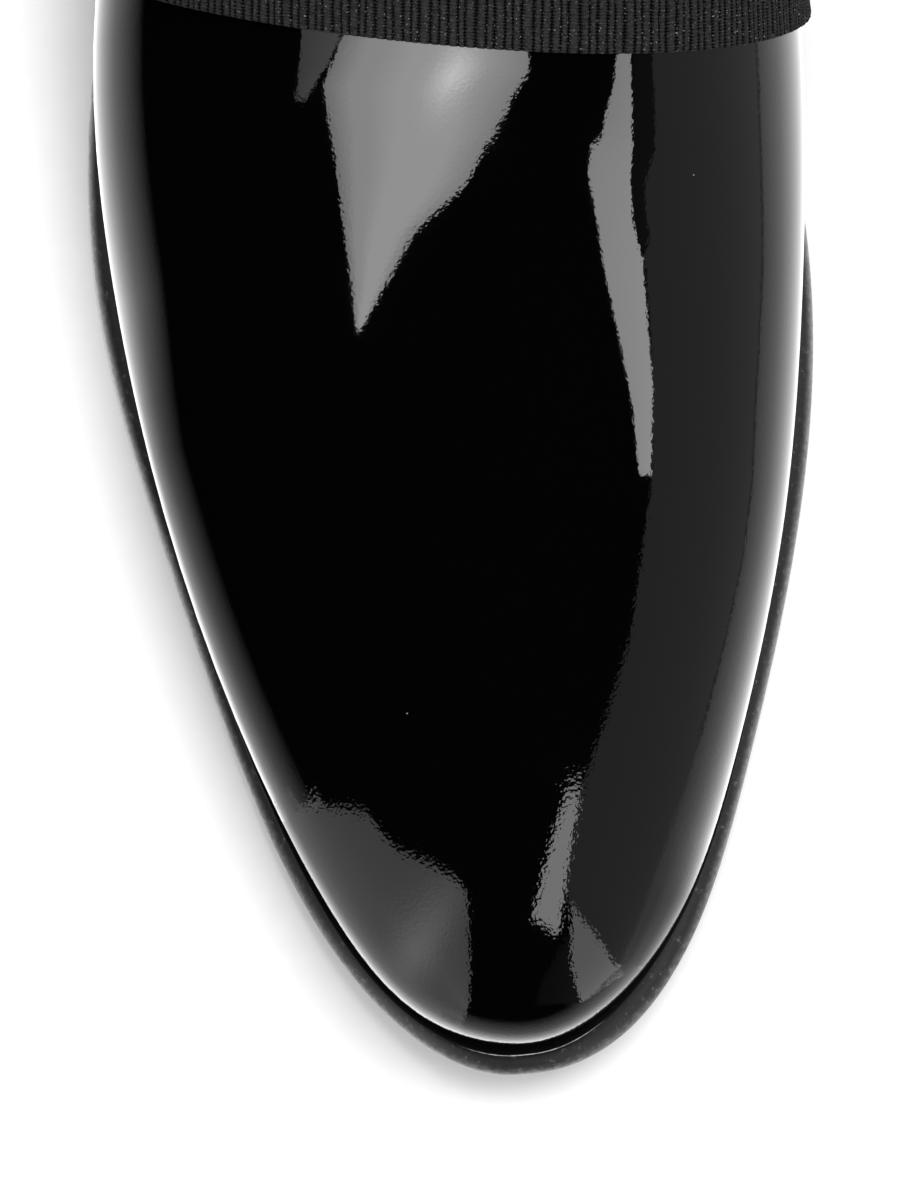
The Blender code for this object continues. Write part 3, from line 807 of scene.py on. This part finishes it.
def sole_leather(name, dark, light, scuff, shine, painted_light=None, pale=0.0):
    """Dyed, waxed sole leather: a close fibre between two tones, with pale scuffs as strong as scuff says
    and, where the painted light settings give a stretch, that stretch coloured in the pale tone as painted
    light."""
    material, tree, shader, place = new_finish(name)
    grain = add_node(tree, "ShaderNodeGroup", {"Place": place, "Cells": FIBRE_CELLS}, node_tree=LEATHER_GRAIN)
    surface = add_node(tree, "ShaderNodeUVMap", uv_map="surface").outputs["UV"]
    wear_and_painted_light = add_node(tree, "ShaderNodeGroup", {"Place": place, "Surface": surface, **(painted_light or {})},
                    node_tree=SOLE_WEAR_AND_PAINTED_LIGHT)
    mark = remap(tree, wear_and_painted_light.outputs["Mark"], (0.0, 1.0), (0.0, scuff))
    tone = tint(tree, mark, between(tree, grain.outputs["Tone"], dark, light), grey(SCUFF_TONE))
    # Painted light: the stretch is coloured in the pale tone.
    if painted_light:
        tone = tint(tree, wear_and_painted_light.outputs["Painted Light"], tone, grey(pale))
    fibre = wear_and_painted_light.outputs["Fibre"]
    dress(tree, shader, tone, remap(tree, fibre, (0.0, 1.0), WAX_ROUGHNESS), fibre,
          depth=0.00006, strength=0.6)
    shader.inputs["Specular IOR Level"].default_value = shine
    return material


welt_outer = swept(lambda inset: sole_ring(WELT_SHARE, inset, toe_trim=WELT_TRIM),
                   np.add(WELT_PROFILE, (0.0, OUTSOLE_TOP)))
welt_inner = swept(lambda inset: sole_ring(0.0, inset),
                   ((WALL, WELT_THICKNESS + OUTSOLE_TOP), (WALL, OUTSOLE_TOP)))
welt_loop = np.concatenate([welt_outer, welt_inner, welt_outer[:1]])
lip_middle = to_row(np.array([SOLE_LENGTH, LIP_SIDE, float(feather_height(SOLE_LENGTH))]))
# Painted highlight: a stretch along the welt's lip at the toe is coloured white.
welt = make_piece("welt_strip", [patch(welt_loop, close=True, uv=surface_run(welt_loop))], sole_leather(
    # Painted shade: the welt's tones are kept darker than the sole's, standing in for the shadowed crease
    # beside the upper.
    "black welt leather with painted shade and highlight", dark=0.001, light=0.0025, scuff=0.03, shine=0.03, pale=1.0, painted_light={
        "Start": LIP_START * MM, "Full": LIP_FULL * MM, "End": LIP_END * MM,
        "Middle": lip_middle, "Reach": LIP_REACH * MM,
    }))
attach(welt, "root")
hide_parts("welt")

# Outsole
# Black sole leather cut to the outline, its edge trimmed round and waxed to a grey satin, and coloured paler
# along its lower side as a painted reflection of the white floor. Underneath, a closed stitching channel runs
# round the forepart and the waist.
SOLE_SHELF, SOLE_ROUND_IN, SOLE_ROUND_UP, SOLE_UNDER_IN, SOLE_UNDER_UP = 6.0, 2.6, 2.7, 1.8, 1.9
CHANNEL_INSET, CHANNEL_HALF, CHANNEL_DEPTH, UNDER_INSET = 5.8, 0.5, 0.22, 7.5
PAINTED_REFLECTION_START, PAINTED_REFLECTION_FULL, PAINTED_REFLECTION_END, PAINTED_REFLECTION_REACH = 4.6, 7.6, 9.6, 1000.0
ROUND_STEPS, CHANNEL_STEPS = 9, 5
quarter, under = np.linspace(0.0, np.pi / 2, ROUND_STEPS), np.linspace(-1.0, 1.0, CHANNEL_STEPS)
over = np.column_stack([1 - np.sin(quarter), 1 - np.cos(quarter)])
SOLE_EDGE = np.concatenate([
    [(SOLE_SHELF, OUTSOLE_THICKNESS)],
    over * (SOLE_ROUND_IN, -SOLE_ROUND_UP) + (0.0, OUTSOLE_THICKNESS),
    over[:, ::-1] * (SOLE_UNDER_IN, SOLE_UNDER_UP),
    np.column_stack([CHANNEL_INSET + under * CHANNEL_HALF, CHANNEL_DEPTH * (1 - under**2)]),
    [(UNDER_INSET, 0.0)],
])
sole_rings = swept(lambda inset: sole_ring(1.0, inset), SOLE_EDGE)
# Painted reflection: the lower side of the sole's edge is coloured paler in place of the white floor mirrored
# there.
outsole = make_piece("leather_sole", [
    patch(sole_rings, close=True, flip=True, uv=surface_run(sole_rings)),
    across_ring(sole_rings[0], steps=4, flip=True),
    across_ring(sole_rings[-1], steps=8),
], sole_leather("grey waxed sole edge", dark=0.005, light=0.014, scuff=0.5, shine=0.5, pale=0.19, painted_light={
    "Start": PAINTED_REFLECTION_START * MM, "Full": PAINTED_REFLECTION_FULL * MM, "End": PAINTED_REFLECTION_END * MM, "Reach": PAINTED_REFLECTION_REACH * MM,
}))
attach(outsole, "root")
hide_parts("outsole")

# Heel
# Lifts of black leather pegged under the seat, with fine lines where they meet, and a rubber top piece that
# treads on the floor. Both are drawn in a little towards the floor, and the breast is slightly hollow.
HEEL_BREAST, HEEL_INSET, HEEL_TAPER, EDGE_UNDERCUT = 75.0, 0.8, 1.6, 1.4
TOP_PIECE, HEEL_TOP, BREAST_HOLLOW = 6.0, 19.3, 2.2
LIFT_LINES, LINE_GROOVE = (14.9, 10.6), ((0.25, 0.0), (0.08, 0.14), (-0.08, 0.14), (-0.25, 0.0))
LIFT_TOP, LIFT_FOOT = ((0.0, 0.3), (-0.3, 0.0)), ((0.25, 0.0), (0.0, 0.2))
RUBBER_EDGE = ((TOP_PIECE, 0.2), (TOP_PIECE - 0.2, 0.0), (0.8, 0.0), (0.25, 0.2), (0.0, 0.7))
HEEL_STEPS, BREAST_STEPS, HEEL_CREASE = 90, 24, math.radians(50.0)
RUBBER_TONES, RUBBER_ROUGHNESS = (0.008, 0.03), (0.55, 0.8)


def heel_ring(height, inset):
    """Closed ring round the heel at a height: the seat's outline drawn in by the taper, then across the
    breast on a shallow sine and back along the other side."""
    along = float(along_at(np.array(HEEL_BREAST))) * np.arange(HEEL_STEPS + 1) / HEEL_STEPS
    draw = EDGE_UNDERCUT + HEEL_INSET + HEEL_TAPER * (1.0 - height / HEEL_TOP) + inset
    sides = [ledge_line(along, hand, 1.0, draw) for hand in (LATERAL, MEDIAL)]
    share = np.linspace(0.0, 1.0, BREAST_STEPS + 1)[1:-1]
    breast = sides[0][-1] * (1.0 - share[:, None]) + sides[1][-1] * share[:, None]
    breast[:, 0] = HEEL_BREAST - inset - BREAST_HOLLOW * np.sin(np.pi * share)
    sides[0][-1, 0] = sides[1][-1, 0] = HEEL_BREAST - inset
    plan = np.concatenate([sides[0], breast, sides[1][:0:-1]])
    return np.column_stack([plan, np.full(len(plan), height)])


def heel_piece(name, levels, material):
    """Closed body from rings of height and inset, top first, with a flat cap at each end."""
    rings = np.stack([heel_ring(height, inset) for height, inset in levels])
    piece = make_piece(name, [patch(rings, close=True, flip=True)], material)
    bm = bmesh.new()
    bm.from_mesh(piece.data)
    bmesh.ops.holes_fill(bm, edges=[edge for edge in bm.edges if edge.is_boundary], sides=0)
    bmesh.ops.recalc_face_normals(bm, faces=bm.faces)
    bm.to_mesh(piece.data)
    bm.free()
    piece.data.shade_smooth()
    piece.data.set_sharp_from_angle(angle=HEEL_CREASE)
    return piece


stack_levels = np.concatenate(
    [np.add(LIFT_TOP, (HEEL_TOP, 0.0))] + [np.add(LINE_GROOVE, (line, 0.0)) for line in LIFT_LINES]
    + [np.add(LIFT_FOOT, (TOP_PIECE + GAP, 0.0))]
)
heel_stack = heel_piece("heel_lifts", stack_levels, sole_leather(
    "black heel leather", dark=0.008, light=0.016, scuff=0.2, shine=0.6))
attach(heel_stack, "root")
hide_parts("heel_stack")


def rubber_finish():
    """Moulded rubber: a close stipple and a faint grey bloom."""
    material, tree, shader, place = new_finish("black heel rubber")
    bloom = noise(tree, place, waves=90.0, detail=4.0)
    dress(tree, shader, between(tree, bloom, *RUBBER_TONES),
          remap(tree, bloom, (0.0, 1.0), RUBBER_ROUGHNESS), noise(tree, place, waves=2400.0, detail=2.0),
          depth=0.00006, strength=0.5)
    return material


top_piece = heel_piece("rubber_lift", RUBBER_EDGE, rubber_finish())
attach(top_piece, "root")
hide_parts("heel_top_piece")

# Floor
# A plain sheet of white paper with a faint tooth, wide enough to fill every view, laid a hair below the
# tread.
FLOOR_HALF, FLOOR_DROP = 4000.0, 0.2
PAPER_TONES, PAPER_ROUGHNESS = (0.75, 0.785), 0.9
floor_corners = np.array([(-1, -1), (1, -1), (1, 1), (-1, 1)]) * FLOOR_HALF * MM
floor_mesh = bpy.data.meshes.new("floor")
floor_mesh.from_pydata(np.column_stack([floor_corners, np.full(4, -FLOOR_DROP * MM)]), [], [(0, 1, 2, 3)])
floor = placed("floor", floor_mesh)
paper, paper_tree, paper_shader, paper_place = new_finish("white paper")
tooth = noise(paper_tree, paper_place, waves=300.0, detail=3.0)
paper_white = between(paper_tree, tooth, *PAPER_TONES)
paper_tree.links.new(paper_white, paper_shader.inputs["Base Color"])
paper_shader.inputs["Roughness"].default_value = PAPER_ROUGHNESS
paper_shader.inputs["Specular IOR Level"].default_value = 0.0
floor_mesh.materials.append(paper)

# Camera
# It looks almost straight down on the toe from a little in front of it, turned slightly to the shoe's line.
# Its lens is a long one, set by the picture's own pixels.
CAMERA_TILT, CAMERA_TURN = math.radians(6.0), math.radians(1.89)
CAMERA_DISTANCE, FOCAL_PIXELS, PICTURE_WIDTH, PICTURE_HEIGHT = 1100.0, 7700.0, 900.0, 1200.0
TARGET = np.array([SOLE_LENGTH - 67.4, -8.0, 30.0])
back_way = np.array([-math.cos(CAMERA_TURN), math.sin(CAMERA_TURN), 0.0])
upright = np.array([0.0, 0.0, 1.0])
look = math.sin(CAMERA_TILT) * back_way - math.cos(CAMERA_TILT) * upright
up_way = math.cos(CAMERA_TILT) * back_way + math.sin(CAMERA_TILT) * upright
right_way = np.cross(look, up_way)
EYE = TARGET - CAMERA_DISTANCE * look


def aimed(name, data, right, up, ahead, place):
    """Object at a place in the shoe's frame that faces ahead, its right side and its top turned as given."""
    turned = np.eye(4)
    turned[:3] = np.column_stack([right, up, -ahead, to_row(place)])
    made = placed(name, data)
    made.matrix_world = Matrix(turned.tolist())
    return made


lens = bpy.data.cameras.new("camera")
lens.sensor_fit = "AUTO"
lens.sensor_width = 36.0
lens.lens = FOCAL_PIXELS * lens.sensor_width / PICTURE_HEIGHT
lens.clip_start, lens.clip_end = 0.01, 50.0
bpy.context.scene.camera = aimed("camera", lens, right_way, up_way, look, EYE)

# Studio light
# One soft box overhead lights the paper and the matt pieces; two large ones behind the heel show only in
# the gloss. The room is dark, and small cards hang where the patent leather mirrors them to the camera.
ROOM_LIGHT, BOX_AIM = 1.12, (220.0, 0.0, 0.0)
CARD_STEPS, RAIL_STEPS, CARD_CLEAR, AIM_ROUNDS = 14, 6, 0.5, 30
scene = bpy.context.scene
scene.view_settings.view_transform = "Standard"
scene.view_settings.look = "None"
room = bpy.data.worlds.new("dark room")
room.use_nodes = True
scene.world = room
sky = room.node_tree.nodes["Background"]
sky.inputs["Color"].default_value = grey(1.0)
seen = add_node(room.node_tree, "ShaderNodeLightPath").outputs
dim = reckon(room.node_tree, "MULTIPLY_ADD", seen["Is Diffuse Ray"], ROOM_LIGHT, seen["Is Camera Ray"])
room.node_tree.links.new(dim, sky.inputs["Strength"])


def soft_box(name, place, size, power, mirrored):
    """Square area light turned to the ball of the foot: a mirrored one shows only in gloss, any other one
    lights only matt surfaces."""
    box = bpy.data.lights.new(name, "AREA")
    box.shape, box.size, box.energy = "SQUARE", size, power
    place = np.array(place)
    ray = unit(np.array(BOX_AIM) - place)
    side = unit(np.cross(ray, upright))
    lamp = aimed(name, box, side, np.cross(side, ray), ray, place)
    lamp.visible_glossy, lamp.visible_diffuse = mirrored, not mirrored


soft_box("overhead box", (20.0, 270.0, 1300.0), size=0.6, power=13.0, mirrored=False)
soft_box("back right box", (-700.0, 500.0, 1300.0), size=1.2, power=13.5, mirrored=True)
soft_box("back left box", (-600.0, -600.0, 1200.0), size=1.2, power=6.0, mirrored=True)


def unshifted(places):
    """Side of the dome before its ridge is moved, for places after it: what is still missing is added
    again and again."""
    side = places[..., 1].copy()
    for _ in range(AIM_ROUNDS):
        side += places[..., 1] - dome(places[..., 0], side)[..., 1]
    return side


def seen_at(points):
    """Places on the vamp that the camera sees at points of the picture: a point's ray is cut at the dome's
    height, which is then read again where it was cut, and so on."""
    offset = np.array(points, float) - (PICTURE_WIDTH / 2, PICTURE_HEIGHT / 2)
    ray = look + (offset[:, :1] * right_way - offset[:, 1:] * up_way) / FOCAL_PIXELS
    height = np.full(len(ray), TARGET[2])
    for _ in range(AIM_ROUNDS):
        places = (EYE + ray * ((height - EYE[2]) / ray[:, 2])[:, None])[:, :2]
        height = dome(places[:, 0], unshifted(places))[:, 2]
    return places


def edge_rail(hand, along, inset):
    """Places on the vamp at an inset from its widest line."""
    return widest_plan(along, hand) - (inset + 0.0 * along)[:, None] * outward(along, hand)


def finer(values, steps):
    """Values with straight steps put in between along the first axis."""
    values = np.array(values, float)
    place = np.linspace(0.0, len(values) - 1.0, steps * (len(values) - 1) + 1)
    i = np.minimum(place.astype(int), len(values) - 2)
    t = (place - i).reshape(-1, *[1] * (values.ndim - 1))
    return values[i] * (1.0 - t) + values[i + 1] * t


def mirrored_card(name, rails, distance, glow, spot=None):
    """Card that the vamp mirrors between rails of places on it. Each place's camera ray leaves as the ray
    less twice its part along the normal, and is followed for a distance or to just over the floor. Glow is
    one number or a row of numbers for each rail; a spot adds a bell curve at a share across and along, with
    its two widths and its height."""
    places = finer(finer(rails, RAIL_STEPS).swapaxes(0, 1), CARD_STEPS)
    side = unshifted(places)
    point, normal = dome(places[..., 0], side), dome_normal(places[..., 0], side)
    ray = unit(point - EYE)
    way = ray - 2.0 * np.sum(ray * normal, axis=-1, keepdims=True) * normal
    to_floor = (point[..., 2] - CARD_CLEAR) / np.maximum(-way[..., 2], 1e-6)
    part = patch(point + np.minimum(to_floor, distance)[..., None] * way)
    rows = [np.broadcast_to(row, len(rail)) for row, rail in zip(glow, rails)]
    light = finer(finer(rows, RAIL_STEPS).T, CARD_STEPS)
    if spot:
        across_place, along_place, across_width, along_width, height = spot
        along, across = (np.linspace(0.0, 1.0, count) for count in light.shape)
        bell = np.exp(-(((along - along_place) / along_width) ** 2))[:, None]
        light += height * bell * np.exp(-(((across - across_place) / across_width) ** 2))
    mesh = bpy.data.meshes.new(name)
    mesh.from_pydata(to_row(part["points"]), [], part["faces"].tolist())
    level = mesh.attributes.new("glow", "FLOAT", "POINT")
    level.data.foreach_set("value", light.astype(np.float32).ravel())
    material = bpy.data.materials.new(name)
    material.use_nodes = True
    tree = material.node_tree
    tree.nodes.clear()
    strength = add_node(tree, "ShaderNodeAttribute", attribute_name="glow").outputs["Fac"]
    lit = add_node(tree, "ShaderNodeEmission", {"Strength": strength})
    tree.links.new(lit.outputs[0], add_node(tree, "ShaderNodeOutputMaterial").inputs["Surface"])
    mesh.materials.append(material)
    card = placed(name, mesh)
    card.visible_camera = card.visible_diffuse = card.visible_shadow = card.visible_transmission = False


# Cards by the band: a wide one and a small one at the left, and a strip at the right with a shade beside it.
# Each edge is a list of points of the picture, in its pixels.
WEDGE_LEFT = np.array(((352, 15), (340, 42), (323, 85), (332, 140), (338, 180), (345, 240), (357, 332)))
WEDGE_RIGHT = np.array(((528, 30), (529, 72), (513, 97), (491, 140), (464, 187), (415, 232), (360, 332)))
WEDGE_SHARES, WEDGE_GLOW = (0.0, 0.14, 0.24, 0.4, 0.75, 1.0), (3.4, 5.6, 5.8, 7.0, 7.0, 4.6)
WEDGE_SPOT = (0.735, 0.24, 0.05, 0.14, 5.5)
SMALL_LEFT, SMALL_RIGHT = ((303, 10), (300, 60), (295, 99)), ((352, 10), (330, 60), (304, 101))
STRIP_LEFT = (
    (619, 30), (613, 90), (605, 116), (602, 137), (591, 149), (588, 172), (597, 222), (603, 262), (630, 390),
    (640, 475),
)
STRIP_RIGHT = (
    (629, 30), (632, 90), (632, 116), (632, 137), (633, 149), (630, 172), (633, 222), (643, 262), (653, 390),
    (651, 475),
)
SHADE_LEFT = ((633, 25), (634, 110), (633, 152), (632, 182), (634, 215), (638, 235), (643, 252))
SHADE_RIGHT = ((651, 25), (655, 110), (655, 152), (645, 182), (646, 215), (650, 235), (646, 252))
STRIP_FADE = 0.75
strip_level = np.linspace(STRIP_FADE, 1.0, len(STRIP_LEFT))
mirrored_card("front left card", [
    seen_at(WEDGE_LEFT + (WEDGE_RIGHT - WEDGE_LEFT) * share) for share in WEDGE_SHARES
], distance=28.0, glow=WEDGE_GLOW, spot=WEDGE_SPOT)
for name, left, right, distance, glow in (
    ("small left card", SMALL_LEFT, SMALL_RIGHT, 28.0, (0.9, 1.3)),
    ("front right card", STRIP_LEFT, STRIP_RIGHT, 28.0, (5.8 * strip_level, 6.4 * strip_level)),
    ("front right shade", SHADE_LEFT, SHADE_RIGHT, 32.0, (0.06, 0.08)),
):
    mirrored_card(name, [seen_at(left), seen_at(right)], distance, glow)

# A long board at the right: grey from its top edge to a thin dark line, then a paler strip down to the shoe's
# own edge, which dims round the toe. The columns are the picture's row and the two edges' places on it; the
# dimming and the line's depth are curves by station.
BOARD_COLUMNS = ("row", "top", "line")
BOARD_EDGES = (
    (-25, 646, 752), (150, 646, 759), (190, 642, 760), (225, 640, 761), (262, 645, 761), (330, 651, 758),
    (420, 653, 753), (480, 652, 751), (560, 641, 741), (640, 630, 724), (720, 605, 703), (785, 583, 684),
    (835, 573, 667), (885, 565, 650), (900, 568, 645), (924, 586, 636), (943, 602, 628), (965, 615, 619),
)
BOARD_STEPS, BOARD_SHARES = 2, (0.007, 0.19, 0.37, 0.56, 0.74, 0.93, 0.95, 0.975)
board = dict(zip(BOARD_COLUMNS, finer(BOARD_EDGES, BOARD_STEPS).T))
board_top, board_line = (seen_at(np.column_stack([board[edge], board["row"]])) for edge in ("top", "line"))
board_low = widest_plan(along_at(board_line[:, 0]), MEDIAL)
TOE_DIM, LINE_DIP = ((279.0, 288.0), (1.0, 0.45)), ((262.0, 276.0), (0.25, 0.5))
toe_dim, line_dip = (np.interp(board_line[:, 0], *curve) for curve in (TOE_DIM, LINE_DIP))
half_dim = np.sqrt(toe_dim)
mirrored_card("right board", [
    board_low + share * (board_line - board_low) for share in BOARD_SHARES
] + [board_line, board_top], distance=70.0, glow=(
    2.4 * toe_dim, 1.85 * toe_dim, 1.4 * toe_dim, half_dim, 0.8 * half_dim, 0.62, line_dip, line_dip,
    0.42, 0.36,
))

# A pale strip along the left edge that fades into a black flag, palest beside the ball. The flag's edge and
# the strip's glow are curves by station.
LEFT_START, LEFT_STOP, LEFT_KNOTS, LEFT_FLAG = 140.0, 275.0, 19, 16.0
LEFT_DARK = ((140.0, 201.0, 212.0, 220.0, 258.0), (8.1, 7.6, 6.5, 5.4, 5.2))
LEFT_LEVEL = ((165.0, 200.0, 219.0), (1.5, 1.85, 0.9))
left_station = np.linspace(LEFT_START, LEFT_STOP, LEFT_KNOTS)
left_dark, left_level = (np.interp(left_station, *curve) for curve in (LEFT_DARK, LEFT_LEVEL))
mirrored_card("left bounce and flag", [
    edge_rail(LATERAL, along_at(left_station), inset)
    for inset in (0.05, 0.15 * left_dark, 0.45 * left_dark, left_dark, LEFT_FLAG)
], distance=160.0, glow=(2.6, 1.35 * left_level, 0.68 * left_level, 0.0, 0.0))

# Cards round the toe: a grey one at the left, a black flag in front, and at the right a strip with a shade
# and a small wedge under it.
TOE_LEFT_TOP = (
    (300, 813), (320, 808), (340, 807), (366, 812), (384, 836), (398, 850), (432, 864), (455, 878),
    (467, 893), (469, 925), (470, 960), (469, 1005),
)
TOE_STRIP_LEFT = ((568, 789), (555, 830), (544, 870), (533, 918))
TOE_STRIP_RIGHT = ((582, 789), (574, 840), (566, 880), (559, 936))
TOE_SHADE_LEFT = ((570, 930), (562, 945), (550, 965), (540, 985), (536, 1005))
TOE_SHADE_RIGHT = ((573, 930), (573, 945), (573, 965), (577, 985), (580, 1003))
TOE_WEDGE_LEFT = ((570, 898), (572, 930), (571, 960), (576, 985), (581, 1003))
TOE_WEDGE_RIGHT = ((577, 905), (590, 922), (604, 940), (618, 962), (624, 975))
TOE_LEFT_GLOW = ((1.5, 2.6), (0.8, 1.25), (1.0, 1.0), (0.95, 1.35), (0.95, 1.1))
TOE_LEFT_START, TOE_LEFT_STOP, TOE_LEFT_SPOT = 272.0, 0.953, (0.72, 0.66, 0.25, 0.1, 1.2)
RIM_INSETS, MIDDLE_SHARE = (0.05, 1.2, 3.0), 0.3
FLAG_START, FLAG_STOP, FLAG_KNOTS, FLAG_DEPTH = 0.935, 0.885, 7, 8.0
FLAG_END, FLAG_DIM = (0.2, 0.4, 0.6, 0.6), (0.9, 0.4)
toe_knots = len(TOE_LEFT_TOP)
toe_left_span = np.linspace(float(along_at(np.array(TOE_LEFT_START))), TOE_LEFT_STOP, toe_knots)
toe_left_rims = [edge_rail(LATERAL, toe_left_span, inset) for inset in RIM_INSETS]
toe_left_top = seen_at(TOE_LEFT_TOP)
toe_left_middle = toe_left_rims[-1] + MIDDLE_SHARE * (toe_left_top - toe_left_rims[-1])
mirrored_card("toe left card", toe_left_rims + [toe_left_middle, toe_left_top], distance=70.0, glow=[
    np.linspace(start, end, toe_knots) for start, end in TOE_LEFT_GLOW
], spot=TOE_LEFT_SPOT)
flag_lateral = np.linspace(FLAG_START, 1.0, FLAG_KNOTS)
flag_medial = np.linspace(1.0, FLAG_STOP, FLAG_KNOTS + 1)[1:]
flag_end = np.concatenate([np.zeros(2 * FLAG_KNOTS - len(FLAG_END)), FLAG_END])
flag_dim = np.concatenate([np.ones(FLAG_KNOTS + 1), np.linspace(*FLAG_DIM, FLAG_KNOTS - 1)])
mirrored_card("front flag", [
    np.concatenate([edge_rail(LATERAL, flag_lateral, inset), edge_rail(MEDIAL, flag_medial, inset)])
    for inset in (*RIM_INSETS, FLAG_DEPTH)
], distance=110.0, glow=(2.6 * flag_dim, 0.8, flag_end, flag_end / 2))
for name, left, right, distance, glow in (
    ("toe right strip", TOE_STRIP_LEFT, TOE_STRIP_RIGHT, 140.0, (4.0, 4.0)),
    ("toe right shade", TOE_SHADE_LEFT, TOE_SHADE_RIGHT, 100.0, (0.05, 0.1)),
    ("toe right wedge", TOE_WEDGE_LEFT, TOE_WEDGE_RIGHT, 95.0, (2.0, 2.0)),
):
    mirrored_card(name, [seen_at(left), seen_at(right)], distance, glow)
